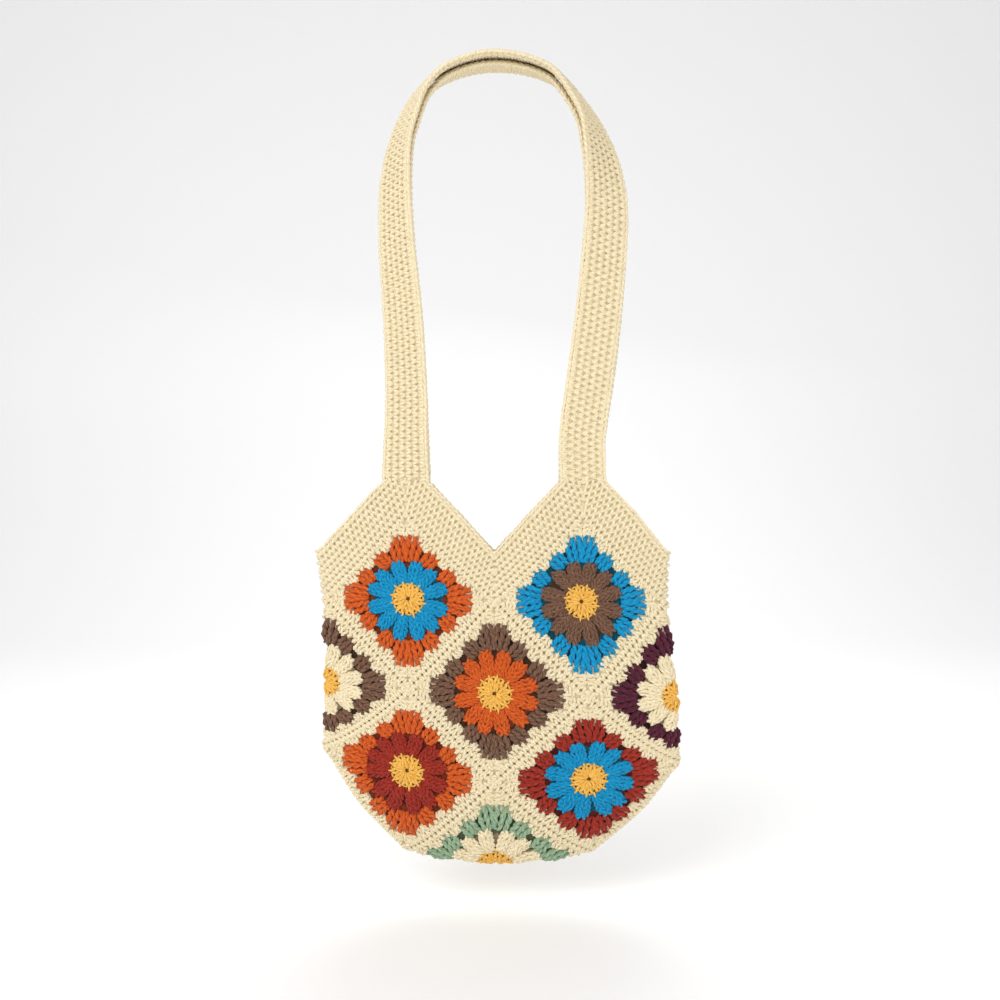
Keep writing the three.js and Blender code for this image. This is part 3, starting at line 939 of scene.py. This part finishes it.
def joined(meshes: Sequence[bpy.types.Mesh], name: str) -> bpy.types.Mesh:
    """Joins meshes into one, with their attributes and materials.

    Args:
        meshes: the meshes, in their places.
        name: what the parts are called meanwhile.

    Returns:
        The first of the meshes, which the others are now part of.
    """
    parts = []
    for mesh in meshes:
        part = bpy.data.objects.new(name, mesh)
        bpy.context.scene.collection.objects.link(part)
        parts.append(part)
    with bpy.context.temp_override(active_object=parts[0], selected_editable_objects=parts):
        bpy.ops.object.join()
    made = parts[0].data
    bpy.data.objects.remove(parts[0])
    return made


@dataclass(frozen=True)
class CentreShape:
    """How the yellow centre is worked: places as shares of its radius, and stitches in millimetres."""

    unevenness: float = 0.05
    eye: float = 2.2
    post_top: float = 0.62
    post_depth: float = 3.3
    post_twists: float = 0.4
    edge_place: float = 0.75
    edge_width: float = 7.6
    fill_place: float = 0.56
    fill_lift: float = -0.6
    fill_width: float = 4.6
    spike_play: float = 0.15

    SPIKE = (
        dict(across=0, up=-2.6, out=4.6, thick=0.9),
        dict(across=0, up=-0.4, out=5.4, thick=0.8),
        dict(across=0, up=1.6, out=5.4, thick=0.55),
        dict(across=0, up=2.8, out=5.0, thick=0.25),
    )


@dataclass(frozen=True)
class PetalShape:
    """How a petal is worked: half widths and laps in millimetres, the belly as a share of its length."""

    unevenness: float = 0.025
    belly: float = 0.7
    belly_lap: float = 0.12
    foot_lap: float = 0.5
    tip_lap: float = 0.6
    foot_half: float = 3.3
    belly_half: float = 5.7
    tip_half: float = 4.0

    POSTS = (
        dict(share=-1.0, depth=2.4),
        dict(share=-0.36, depth=3.6),
        dict(share=0.36, depth=3.6),
        dict(share=1.0, depth=2.4),
    )
    LOWER = dict(thick=1.06, twists=1.6, rise=0.7, points=8)
    UPPER = dict(thick=1.1, twists=0.8, rise=0.8, points=5)
    TIP_KNOT = (
        dict(across=0.3, up=-3.2, out=5.0, thick=0.7),
        dict(across=1.7, up=-1.2, out=5.8, thick=1.0),
        dict(across=3.2, up=0.2, out=5.2, thick=1.0),
        dict(across=3.6, up=1.0, out=3.0, thick=0.7),
    )


@dataclass(frozen=True)
class Cluster:
    """Posts that share a foot: the middles of its foot and top on a square, and how it is worked."""

    foot: tuple[float, float]
    top: tuple[float, float]
    spread: float
    thick: float = 1.1
    points: int = 4
    posts: int = 3
    flare: float = 0.0

    foot_share: float = 0.62
    top_share: float = 0.82
    crown: float = 1.3
    depth: float = 3.0
    rise: float = 1.6
    twists_a_point: float = 0.22
    loop_half_share: float = 0.8
    loop_slant: float = 0.5
    LOOP = dict(depth=3.4, thick=0.85, twists=0.35, rise=0.6, points=4)


@dataclass
class GrannySquare:
    """One granny square, worked from the middle out."""

    square: Square
    wall: HangingWall
    stitches: Stitches
    sweep: YarnSweep
    finishes: Finishes
    centre_shape: CentreShape = CentreShape()
    petal_shape: PetalShape = PetalShape()
    cell: float = 3.4
    grid_margin: float = 0.3
    front_sides: int = 5
    back_sides: int = 4
    low_ground: float = 2.2
    corner_hole: float = 1.5
    corner_inset: float = 7.6
    corner_reach: float = 5.5
    cluster_lap: float = 3.0
    tip_gap: float = 6.0
    rim_lap: float = 1.5
    edge_thickness: float = 1.2

    # Places along a side and out from the square's centre, as shares of half the square's side.
    SIDE_CLUSTERS = (-0.203, 0.203)
    CORNER_CLUSTER = dict(foot=(0.41, 0.5), top=(0.595, 0.815))
    GAPS = (-0.4, 0, 0.4)
    CORNER_GAP = dict(foot=(0.8, 0.8), top=(0.72, 0.92))
    FLATS = (-0.2, 0.2, -0.58, 0.58)
    CORNER_POSTS = dict(foot=(0.73, 0.73), top=(0.83, 0.83))
    # How far, in millimetres, clusters start and end past the round that they are worked into.
    SIDE_REACH = dict(foot=-4.0, top=-1.0)
    GAP_REACH = dict(foot=-4.5, top=3.2)
    FLAT_REACH = dict(foot=-0.5, top=4.5)
    # How each kind is worked.
    SIDE_WORK = dict(spread=7.6, thick=1.36, points=6)
    CORNER_WORK = dict(spread=8.0, thick=1.36, points=7)
    CORNER_FLARE = 2.0
    GAP_WORK = dict(spread=5.0)
    FLAT_WORK = dict(spread=4.8, posts=2)
    POSTS_WORK = dict(spread=2.4, posts=2)

    def __post_init__(self) -> None:
        """Takes the square's chart and sizes."""
        self.chart = self.wall.square_chart(self.square)
        self.sizes = self.wall.sizes

    def build(self) -> None:
        """Builds and places the square's pieces."""
        name, finishes = self.square.name, self.finishes
        middle, tips = self.sizes.centre_radius, self.sizes.petal_tip - self.tip_gap
        rounds = (
            ("centre", Yarn.YELLOW, self.centre(), self._disc(0, middle - self.rim_lap)),
            ("petals", self.square.petals, self.petals(), self._disc(middle - self.rim_lap, tips)),
            ("clusters", self.square.clusters, self.clusters(), self._cluster_cells()))
        sides = self.back_sides if self.square.back else self.front_sides
        for label, yarn, paths, keep in rounds:
            ground = Ground(high=self.low_ground).mesh(label, self.chart, *self._grid(), keep)
            # The slab under each coloured round gets the darkened copy of its yarn: painted shade showing in
            # the gaps between the stitches.
            ground.materials.append(finishes.of(yarn, inner=True))
            stitches = self.sweep.sweep(label, paths, finishes.of(yarn), sides)
            node = f"{name}_{label}"
            piece(joined([stitches, ground], label), f"{node}_stitches", [node], yarn)
        node = f"{name}_surround"
        ground = Ground().mesh(node, self.chart, *self._grid(), self._surround_cells())
        ground.materials.append(finishes.of(Yarn.CREAM))
        cloth = piece(ground, f"{node}_ground", [node], Yarn.CREAM)
        mesh = self.sweep.sweep(node, self.surround(), finishes.of(Yarn.CREAM))
        piece(mesh, f"{node}_stitches", [], Yarn.CREAM)

    def _grid(self) -> tuple[Array, Array]:
        """Where the square's cells begin and end.

        Returns:
            The corners along one side and along the other.
        """
        count = 2 * round(self.sizes.half_side / self.cell)
        reach = self.sizes.half_side - self.grid_margin
        edge = np.linspace(-reach, reach, count + 1)
        return edge, edge

    def _middles(self) -> tuple[Array, Array]:
        """The middles of the square's cells.

        Returns:
            Their places along one side and along the other.
        """
        edge, _ = self._grid()
        middle = (edge[:-1] + edge[1:]) / 2
        return np.meshgrid(middle, middle, indexing="ij")

    def _disc(self, inner: float, outer: float) -> Array:
        """The cells between two radii.

        Args:
            inner: the smaller radius.
            outer: the larger radius.

        Returns:
            For each cell whether it is between them.
        """
        reach = np.hypot(*self._middles())
        return (reach >= inner) & (reach <= outer)

    def _beyond(self) -> Array:
        """The cells past the coloured clusters.

        Returns:
            For each cell whether it is there.
        """
        p, q = self._middles()
        away = np.maximum(np.abs(p), np.abs(q)) > self.sizes.cluster_top - self.cluster_lap
        return away | (np.hypot(p, q) > self.sizes.cluster_top + self.corner_reach)

    def _cluster_cells(self) -> Array:
        """The cells under the coloured clusters and the petals' tips."""
        return ~self._beyond() & ~self._disc(0, self.sizes.petal_tip - self.tip_gap)

    def _surround_cells(self) -> Array:
        """The cells of the surround, with a small hole inside each corner.

        Returns:
            For each cell whether it is there.
        """
        p, q = self._middles()
        corner = self.sizes.half_side - self.corner_inset
        hole = np.hypot(np.abs(p) - corner, np.abs(q) - corner) < self.corner_hole
        return self._beyond() & ~hole

    def centre(self) -> Paths:
        """The yellow centre: short posts round a small eye, closed by a round of single crochet.

        Returns:
            Its strands.
        """
        paths, work, shape = Paths(), self.stitches, self.centre_shape
        count, radius = self.sizes.petals, self.sizes.centre_radius
        angle = (np.arange(count) + 0.5) * 2 * math.pi / count
        angle = angle + work.random.normal(0, shape.unevenness, count)
        way, between = spokes(angle), spokes(angle + math.pi / count)
        work.post(paths, self.chart, way * shape.eye, way * shape.post_top * radius,
                  depth=shape.post_depth, twists=shape.post_twists)
        work.single(paths, self.chart, way * shape.edge_place * radius, way, width=shape.edge_width)
        work.single(paths, self.chart, between * shape.fill_place * radius, between,
                    lift=shape.fill_lift, width=shape.fill_width)
        work.lay(paths, self.chart, between * radius, between, shape.SPIKE, play=shape.spike_play)
        return paths

    def petals(self) -> Paths:
        """The petals: puffs of four twisted posts that bulge and are drawn together at the tip.

        Returns:
            Their strands.
        """
        paths, work, shape = Paths(), self.stitches, self.petal_shape
        count, base, tip = self.sizes.petals, self.sizes.centre_radius, self.sizes.petal_tip
        way = spokes(np.arange(count) * 2 * math.pi / count + work.random.normal(0, shape.unevenness, count))
        beside = np.stack([way[:, 1], -way[:, 0]], 1)
        widest = base + shape.belly * (tip - base)
        for post in shape.POSTS:
            share, depth = post["share"], post["depth"]
            low = way * (base - shape.foot_lap) + beside * share * shape.foot_half
            middle = way * widest + beside * share * shape.belly_half
            high = way * (tip - shape.tip_lap) + beside * share * shape.tip_half
            work.post(paths, self.chart, low, middle, depth, **shape.LOWER)
            start = middle - (middle - low) * shape.belly_lap
            work.post(paths, self.chart, start, high, depth, **shape.UPPER)
        for side in (-1, 1):
            work.lay(paths, self.chart, way * tip, way, shape.TIP_KNOT, width=side)
        return paths

    def _cluster(self, paths: Paths, cluster: Cluster, quarter: int) -> None:
        """One cluster of posts that share a foot, closed by a loop over each.

        Args:
            paths: what its strands are added to.
            cluster: where it lies and how it is worked.
            quarter: which of the four sides it is turned to.
        """
        base, top = turned(np.array([cluster.foot, cluster.top], float), quarter)
        way = top - base
        way /= np.linalg.norm(way)
        beside = np.array([way[1], -way[0]])
        shares = np.linspace(-1, 1, cluster.posts)[:, None]
        feet = base + beside * shares * cluster.spread * cluster.foot_share
        fan = beside * cluster.spread * cluster.top_share + way * cluster.flare
        tops = top + fan * shares + way * cluster.crown * (1 - shares ** 2)
        self.stitches.post(paths, self.chart, feet, tops, cluster.depth, cluster.thick,
                           cluster.twists_a_point * cluster.points, cluster.rise, cluster.points)
        loop = beside * cluster.loop_half_share * cluster.spread / cluster.posts + way * cluster.loop_slant
        self.stitches.post(paths, self.chart, tops - loop, tops + loop, **cluster.LOOP)

    def _round_of(self, paths: Paths, *places: Cluster) -> None:
        """The same clusters along each of the four sides.

        Args:
            paths: what their strands are added to.
            places: the clusters of one side.
        """
        for quarter in range(4):
            for cluster in places:
                self._cluster(paths, cluster, quarter)

    def clusters(self) -> Paths:
        """The second coloured round: two clusters along each side and two at each corner.

        Returns:
            Their strands.
        """
        paths = Paths()
        foot = self.sizes.petal_tip + self.SIDE_REACH["foot"]
        top = self.sizes.cluster_top + self.SIDE_REACH["top"]
        self._round_of(paths, *(self._straight(x, foot, top, self.SIDE_WORK) for x in self.SIDE_CLUSTERS))
        for side in (-1, 1):
            work = dict(self.CORNER_WORK, flare=side * self.CORNER_FLARE)
            self._round_of(paths, self._slanted(side, self.CORNER_CLUSTER, work))
        return paths

    def _straight(self, share: float, foot: float, top: float, work: dict) -> Cluster:
        """A cluster that stands square on a side.

        Args:
            share: its place along the side, as a share of half of it.
            foot: how far from the square's centre it starts.
            top: how far from the square's centre it ends.
            work: how it is worked.

        Returns:
            The cluster.
        """
        across = share * self.sizes.half_side
        return Cluster((across, foot), (across, top), **work)

    def _slanted(self, side: int, ends: dict, work: dict) -> Cluster:
        """A cluster that leans towards a corner.

        Args:
            side: which corner of the side, 1 or -1.
            ends: the places of its foot and top, as shares of half the square's side.
            work: how it is worked.

        Returns:
            The cluster.
        """
        half = self.sizes.half_side
        foot, top = ((side * across * half, up * half) for across, up in (ends["foot"], ends["top"]))
        return Cluster(foot, top, **work)

    def surround(self) -> Paths:
        """The cream round: clusters between the coloured ones and a row of single crochet.

        Returns:
            Its strands.
        """
        paths = Paths()
        rim, half = self.sizes.cluster_top, self.sizes.half_side
        foot, top = (rim + self.GAP_REACH[end] for end in ("foot", "top"))
        gaps = [self._straight(x, foot, top, self.GAP_WORK) for x in self.GAPS]
        gaps += [self._slanted(side, self.CORNER_GAP, self.GAP_WORK) for side in (-1, 1)]
        self._round_of(paths, *gaps)
        foot, top = (rim + self.FLAT_REACH[end] for end in ("foot", "top"))
        self._round_of(paths, *(self._straight(x, foot, top, self.FLAT_WORK) for x in self.FLATS))
        self._round_of(paths, self._slanted(1, self.CORNER_POSTS, self.POSTS_WORK))
        row = half - 0.5 * self.stitches.pitch
        count = int(2 * half / self.stitches.pitch)
        along = (np.arange(count) + 0.5) * 2 * half / count - half
        for quarter in range(4):
            centres = turned(np.stack([along, np.full(count, row)], 1), quarter)
            upward = turned(np.tile([0.0, 1.0], (count, 1)), quarter)
            self.stitches.single(paths, self.chart, centres, upward, width=2 * half / count,
                                 thick=self.edge_thickness, loop_shows=False)
        return paths


@dataclass
class Border:
    """The border of single crochet round the opening, cut level where the straps begin.

    A slope rises from a valley, a lattice column at row 0, to one side or the other.
    """

    wall: HangingWall
    stitches: Stitches
    sweep: YarnSweep
    finishes: Finishes
    rows: int = 6
    cell: float = 4.0
    ground_low: float = 1.6
    ground_high: float = 3.3
    margin: float = 0.5
    stitch_thickness: float = 1.22
    inner_lift: float = -1.3
    rim_inset: float = 1.2
    rim_lift: float = 0.6

    SLOPES = {
        "front": (dict(valley=0, side=-1), dict(valley=0, side=1),
                  dict(valley=-2, side=1), dict(valley=2, side=-1)),
        "back": (dict(valley=4, side=-1), dict(valley=4, side=1),
                 dict(valley=2, side=1), dict(valley=-2, side=-1)),
    }

    def build(self) -> None:
        """Builds the front's half and the back's half, each with its ground and stitches."""
        cream = self.finishes.of(Yarn.CREAM)
        for half, slopes in self.SLOPES.items():
            paths, grounds = Paths(), []
            for slope in slopes:
                chart = self.wall.slope_chart(**slope)
                self._stitch(paths, chart)
                grounds.append(self._slab(chart))
            ground = joined(grounds, f"border_{half}")
            ground.materials.clear()
            ground.materials.append(cream)
            cloth = piece(ground, f"border_{half}_ground", ["border"], Yarn.CREAM)
            mesh = self.sweep.sweep(f"border_{half}", paths, cream)
            work = piece(mesh, f"border_{half}_stitches", [], Yarn.CREAM)

    @property
    def slope_length(self) -> float:
        """How long a slope is where it meets the squares: one side of a square."""
        return 2 * self.wall.sizes.half_side

    @property
    def level(self) -> float:
        """The place on every slope's chart, up it and out together, where the border is cut level."""
        return self.wall.foot_row * self.wall.sizes.half_diagonal * math.sqrt(2)

    def _covers(self, s: Array, t: Array) -> Array:
        """Whether places are on the border's slope.

        Args:
            s: how far up the slope.
            t: how far out from the squares.

        Returns:
            For each place whether it is there.
        """
        on_slope = (s >= t) & (s - t <= self.slope_length) & (s + t <= self.level)
        return on_slope & (t >= 0) & (t <= self.wall.border_width)

    def _stitch(self, paths: Paths, chart: Chart) -> None:
        """Rows of single crochet along a slope, each half a stitch on from the last, and a chain edge.

        Args:
            paths: what the strands are added to.
            chart: the slope's chart.
        """
        width, work = self.wall.border_width, self.stitches
        reach = self.slope_length + 2 * width
        places = []
        for row in range(self.rows):
            s = np.arange(0, reach, work.pitch) + (row % 2) * work.pitch / 2
            places.append(np.stack([s, np.full_like(s, (row + 0.5) * (width / self.rows))], 1))
        centres = np.concatenate(places)
        centres = centres[self._covers(*(centres - self.margin).T)]
        upward = np.tile([0.0, 1.0], (len(centres), 1))
        for face, lift in ((chart, 0.0), (work.underside(chart, self.wall.wall), self.inner_lift)):
            work.single(paths, face, centres, upward, lift, thick=self.stitch_thickness, loop_shows=False)
        edge = np.arange(width, reach, work.pitch)
        rim = np.stack([edge, np.full_like(edge, width - self.rim_inset)], 1)
        rim = rim[self._covers(*rim.T)]
        work.chain(paths, chart, rim, np.tile([1.0, 0.0], (len(rim), 1)), self.rim_lift)

    def _slab(self, chart: Chart) -> bpy.types.Mesh:
        """The slab under one slope, on its own slanting grid so that slopes meet on their mitre.

        Args:
            chart: the slope's chart.

        Returns:
            The slab.
        """
        long, rise, level = self.slope_length, self.wall.border_width, self.level
        u = np.linspace(0, long, int(long / self.cell) + 1)
        v = np.linspace(0, rise, int(rise / self.cell) + 1)

        def slanted(a: Array, b: Array, out: Array) -> Array:
            """Points of the slope at places along the squares and out from them, up to the level cut."""
            t = np.minimum(b, (level - a) / 2)
            return chart(a + t, t, out)
        keep = np.ones((len(u) - 1, len(v) - 1), bool)
        return Ground(self.ground_low, self.ground_high).mesh("border_slope", slanted, u, v, keep)


@dataclass
class Strap:
    """One strap: a flat band of single crochet rows that run along it, with a chain at each edge."""

    name: str
    side: int
    wall: HangingWall
    stitches: Stitches
    sweep: YarnSweep
    finishes: Finishes
    foot_column: float = 1.0
    thickness: float = 4.8
    clearance: float = 0.9
    stagger: float = 14.0
    seam_gap: float = 0.4
    rows: int = 6
    stitch_width: float = 6.5
    stitch_thickness: float = 1.34
    inner_lift: float = -1.6
    edge_inset: float = 0.9
    edge_lift: float = -0.7
    edge_thickness: float = 1.35
    ground_low: float = 1.4
    ground_high: float = 3.4
    ground_inset: float = 1.2
    cell: float = 5.0
    cells_across: int = 8
    samples: int = 1600

    ROUTE = (
        dict(reach=-1, height=0.1, turn=18, stagger=0.35, apart=0.75),
        dict(reach=-1.003, height=0.205, turn=24, stagger=0.45, apart=0.35),
        dict(reach=-1.044, height=0.392, turn=30, stagger=0.45, apart=0.1),
        dict(reach=-1.116, height=0.577, turn=38, stagger=0.5, apart=0),
        dict(reach=-1.123, height=0.713, turn=46, stagger=0.55, apart=0),
        dict(reach=-1.069, height=0.8, turn=55, stagger=0.65, apart=0),
        dict(reach=-0.954, height=0.869, turn=61, stagger=0.75, apart=0),
        dict(reach=-0.817, height=0.922, turn=68, stagger=0.85, apart=0),
        dict(reach=-0.551, height=0.971, turn=73, stagger=1, apart=0),
        dict(reach=0, height=1, turn=75, stagger=1, apart=0),
        dict(reach=0.638, height=0.969, turn=72, stagger=1, apart=0),
        dict(reach=0.931, height=0.903, turn=66, stagger=0.8, apart=0),
        dict(reach=1.069, height=0.856, turn=60, stagger=0.65, apart=0),
        dict(reach=1.161, height=0.805, turn=48, stagger=0.5, apart=0),
        dict(reach=1.23, height=0.747, turn=36, stagger=0.4, apart=0),
        dict(reach=1.276, height=0.667, turn=22, stagger=0.3, apart=0),
        dict(reach=1.263, height=0.577, turn=14, stagger=0.2, apart=0),
        dict(reach=1.184, height=0.392, turn=6, stagger=0.2, apart=0.1),
        dict(reach=1.097, height=0.25, turn=2, stagger=0.2, apart=0.35),
        dict(reach=1, height=0.1, turn=0, stagger=0.1, apart=0.75),
    )
    FOOT = dict(turn=0, stagger=0, apart=1)

    def __post_init__(self) -> None:
        """Works out the strap's middle line and its frame along it."""
        foot = self.wall.place(self.foot_column, self.wall.foot_row, self.wall.wall / 2)
        rise = self.thickness + self.clearance / 2
        drop = self.wall.strap_drop
        points = [(row["reach"] * foot[0], 0, (row["height"] - 1) * drop + row["height"] * rise)
                  for row in self.ROUTE]
        foot_height = foot[2] + self.seam_gap
        points = np.array([(-foot[0], 0, foot_height), *points, (foot[0], 0, foot_height)], float)
        table = [dict(row, station=i) for i, row in enumerate((self.FOOT, *self.ROUTE, self.FOOT))]
        t = np.linspace(0, 1, self.samples + 1)
        line = self._through(points, t)
        tangent = np.gradient(line, axis=0)
        tangent /= np.linalg.norm(tangent, axis=1, keepdims=True)
        read = {name: read_table(table, "station", name, t * (len(table) - 1))
                for name in ("turn", "stagger", "apart")}
        turn = np.radians(read["turn"])[:, None]
        outward = np.stack([-tangent[:, 2], np.zeros(len(t)), tangent[:, 0]], 1)
        outward /= np.linalg.norm(outward, axis=1, keepdims=True)
        deep = np.array([0.0, 1.0, 0.0])
        self.across = np.cos(turn) * outward + np.sin(turn) * deep
        self.facing = np.sin(turn) * outward - np.cos(turn) * deep
        resting = (self.thickness + self.clearance) / 2
        spread = resting + (abs(float(foot[1])) - resting) * read["apart"]
        self.middle = line + self.side * spread[:, None] * self.facing
        self.middle -= (self.side * read["stagger"] * self.stagger / 2)[:, None] * self.across
        steps = np.linalg.norm(np.diff(self.middle, axis=0), axis=1)
        self.along = np.concatenate([[0], np.cumsum(steps)])

    @staticmethod
    def _through(points: Array, t: Array) -> Array:
        """A smooth curve through points, which doesn't swing wide where they lie close together.

        Args:
            points: the points that it goes through.
            t: where to read it, from nought at the first point to one at the last.

        Returns:
            The curve's points there.
        """
        p = np.concatenate([[2 * points[0] - points[1]], points, [2 * points[-1] - points[-2]]])
        place = t * (len(points) - 1)
        i = np.minimum(place.astype(int), len(points) - 2)
        w = (place - i)[:, None]
        p0, p1, p2, p3 = p[i], p[i + 1], p[i + 2], p[i + 3]

        def gap(a: Array, b: Array) -> Array:
            """The root of the distance between points, by which the curve counts the way."""
            return np.maximum(np.linalg.norm(a - b, axis=1, keepdims=True) ** 0.5, 1e-4)
        d0, d1, d2 = gap(p0, p1), gap(p1, p2), gap(p2, p3)
        t1 = ((p1 - p0) / d0 - (p2 - p0) / (d0 + d1) + (p2 - p1) / d1) * d1
        t2 = ((p2 - p1) / d1 - (p3 - p1) / (d1 + d2) + (p3 - p2) / d2) * d1
        c2 = -3 * p1 + 3 * p2 - 2 * t1 - t2
        c3 = 2 * p1 - 2 * p2 + t1 + t2
        return p1 + t1 * w + c2 * w ** 2 + c3 * w ** 3

    def chart(self, s: Array, w: Array, out: Array) -> Array:
        """Points of the strap, in millimetres.

        Args:
            s: how far along its middle line.
            w: how far across it.
            out: how far out from its inner face.

        Returns:
            The points, with a last axis of three.
        """
        def at(values: Array) -> Array:
            """Reads vectors along the strap."""
            return np.stack([np.interp(s, self.along, values[:, k]) for k in range(3)], -1)
        lift = self.side * (out - self.thickness / 2)
        return at(self.middle) + at(self.across) * w[..., None] + at(self.facing) * lift[..., None]

    def build(self) -> None:
        """Builds the band, its stitches and its chain edges."""
        length, half = float(self.along[-1]), self.wall.strap_width / 2
        cream, work, paths = self.finishes.of(Yarn.CREAM), self.stitches, Paths()
        s = np.linspace(0, length, int(length / self.cell) + 1)
        w = np.linspace(-half + self.ground_inset, half - self.ground_inset, self.cells_across + 1)
        keep = np.ones((len(s) - 1, len(w) - 1), bool)
        ground = Ground(self.ground_low, self.ground_high).mesh(self.name, self.chart, s, w, keep)
        ground.materials.append(cream)
        cloth = piece(ground, f"{self.name}_ground", [self.name], Yarn.CREAM)
        pitch = 2 * half / self.rows
        places = []
        for row in range(self.rows):
            along = np.arange(self.stitch_width / 2, length, self.stitch_width)
            along = along + (row % 2) * self.stitch_width / 2
            places.append(np.stack([along, np.full_like(along, (row + 0.5) * pitch - half)], 1))
        centres = np.concatenate(places)
        centres = centres[centres[:, 0] < length - 1]
        upward = np.tile([0.0, 1.0], (len(centres), 1))
        for face, lift in ((self.chart, 0.0), (work.underside(self.chart, self.thickness), self.inner_lift)):
            work.single(paths, face, centres, upward, lift, self.stitch_width, pitch,
                        self.stitch_thickness, loop_shows=False)
        along = np.arange(work.pitch / 2, length, work.pitch)
        for edge in (-1, 1):
            rim = np.stack([along, np.full_like(along, edge * (half - self.edge_inset))], 1)
            work.chain(paths, self.chart, rim, np.tile([1.0, 0.0], (len(rim), 1)),
                       self.edge_lift, self.edge_thickness)
        stitched = piece(self.sweep.sweep(self.name, paths, cream), f"{self.name}_stitches", [], Yarn.CREAM)


@dataclass(frozen=True)
class MatteCard:
    """Uncoated white card, which gives the eye a plain pale floor with soft shadows and no gloss."""

    colour: str = "FFFFFF"
    roughness: float = 0.8

    def material(self) -> bpy.types.Material:
        """Builds the finish.

        Returns:
            The material.
        """
        made = bpy.data.materials.new("uncoated_card")
        made.use_nodes = True
        made.node_tree.nodes.clear()
        surface = add_node(made.node_tree, "ShaderNodeBsdfPrincipled", {
            "Base Color": linear(self.colour), "Roughness": self.roughness})
        add_node(made.node_tree, "ShaderNodeOutputMaterial", {"Surface": surface.outputs["BSDF"]})
        return made


@dataclass
class Studio:
    """A pale floor that curves up behind, soft lamps, and the camera, in metres."""

    floor_height: float = -0.83
    floor_size: float = 6.0
    floor_back: float = 1.6
    floor_bend: float = 0.8
    bend_steps: int = 16
    eye: tuple[float, float, float] = (0.0055, -0.95, -0.43)
    lens: float = 34.5
    sensor: float = 36.0
    lit_place: tuple[float, float, float] = (0.0, 0.0, -0.45)
    sky: str = "FFFFFF"
    sky_strength: float = 0.62

    LAMPS = (
        dict(name="lamp_over_left", place=(-1.3, -1.7, 0.9), size=1.6, power=31.0),
        dict(name="lamp_right", place=(1.6, -1.4, 0.1), size=1.8, power=10.0),
        dict(name="lamp_behind", place=(0.2, 1.4, 1.1), size=1.5, power=14.0),
    )

    def build(self) -> None:
        """Builds the floor, the lamps and the camera."""
        scene = bpy.context.scene
        self._floor()
        for lamp in self.LAMPS:
            self._lamp(**lamp)
        # The plain transform keeps the yarns as strong in colour as they are.
        scene.view_settings.view_transform = "Standard"
        scene.world = scene.world or bpy.data.worlds.new("studio")
        scene.world.use_nodes = True
        back = scene.world.node_tree.nodes["Background"].inputs
        back["Color"].default_value, back["Strength"].default_value = linear(self.sky), self.sky_strength
        camera = bpy.data.objects.new("camera", bpy.data.cameras.new("camera"))
        camera.data.lens, camera.data.sensor_width = self.lens, self.sensor
        camera.location, camera.rotation_euler = self.eye, (math.pi / 2, 0, 0)
        scene.collection.objects.link(camera)
        bpy.context.scene.camera = camera

    def _floor(self) -> None:
        """A sheet of pale card that runs back and curves up."""
        bend, half = self.floor_bend, self.floor_size / 2
        turn = np.linspace(0, math.pi / 2, self.bend_steps + 1)
        y = np.concatenate([[-half], self.floor_back + bend * np.sin(turn), [self.floor_back + bend]])
        z = np.concatenate([[0], bend * (1 - np.cos(turn)), [half]]) + self.floor_height
        left = np.stack([np.full_like(y, -half), y, z], 1)
        right = left * [-1, 1, 1]
        count = len(y)
        faces = [(i, i + count, i + count + 1, i + 1) for i in range(count - 1)]
        mesh = bpy.data.meshes.new("floor")
        mesh.from_pydata(np.concatenate([left, right]).tolist(), [], faces)
        mesh.shade_smooth()
        mesh.materials.append(MatteCard().material())
        floor = bpy.data.objects.new("floor", mesh)
        bpy.context.scene.collection.objects.link(floor)
        floor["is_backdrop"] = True

    def _lamp(self, name: str, place: tuple[float, float, float], size: float, power: float) -> None:
        """A square soft lamp that faces the bag's middle.

        Args:
            name: what it is called.
            place: where it hangs.
            size: its side.
            power: its strength in watts.
        """
        lamp = bpy.data.objects.new(name, bpy.data.lights.new(name, "AREA"))
        lamp.data.size, lamp.data.energy = size, power
        lamp.location = place
        way = np.array(self.lit_place) - np.array(place)
        flat = math.hypot(way[0], way[1])
        lamp.rotation_euler = (math.pi / 2 + math.atan2(way[2], flat), 0, math.atan2(-way[0], way[1]))
        bpy.context.scene.collection.objects.link(lamp)


def main() -> None:
    """Builds the studio and the bag."""
    logging.basicConfig(level=logging.INFO, format="%(message)s")
    Studio().build()
    wall, stitches, sweep, finishes = HangingWall(), Stitches(), YarnSweep(), Finishes()
    for square in SQUARES:
        GrannySquare(square, wall, stitches, sweep, finishes).build()
    Border(wall, stitches, sweep, finishes).build()
    for name, side in (("front_strap", 1), ("back_strap", -1)):
        Strap(name, side, wall, stitches, sweep, finishes).build()
    boxes = {"cad": CAD_BOX, "visual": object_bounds()}
    {name: [list(map(float, corner)) for corner in box] for name, box in boxes.items()}


if __name__ == "__main__":
    main()
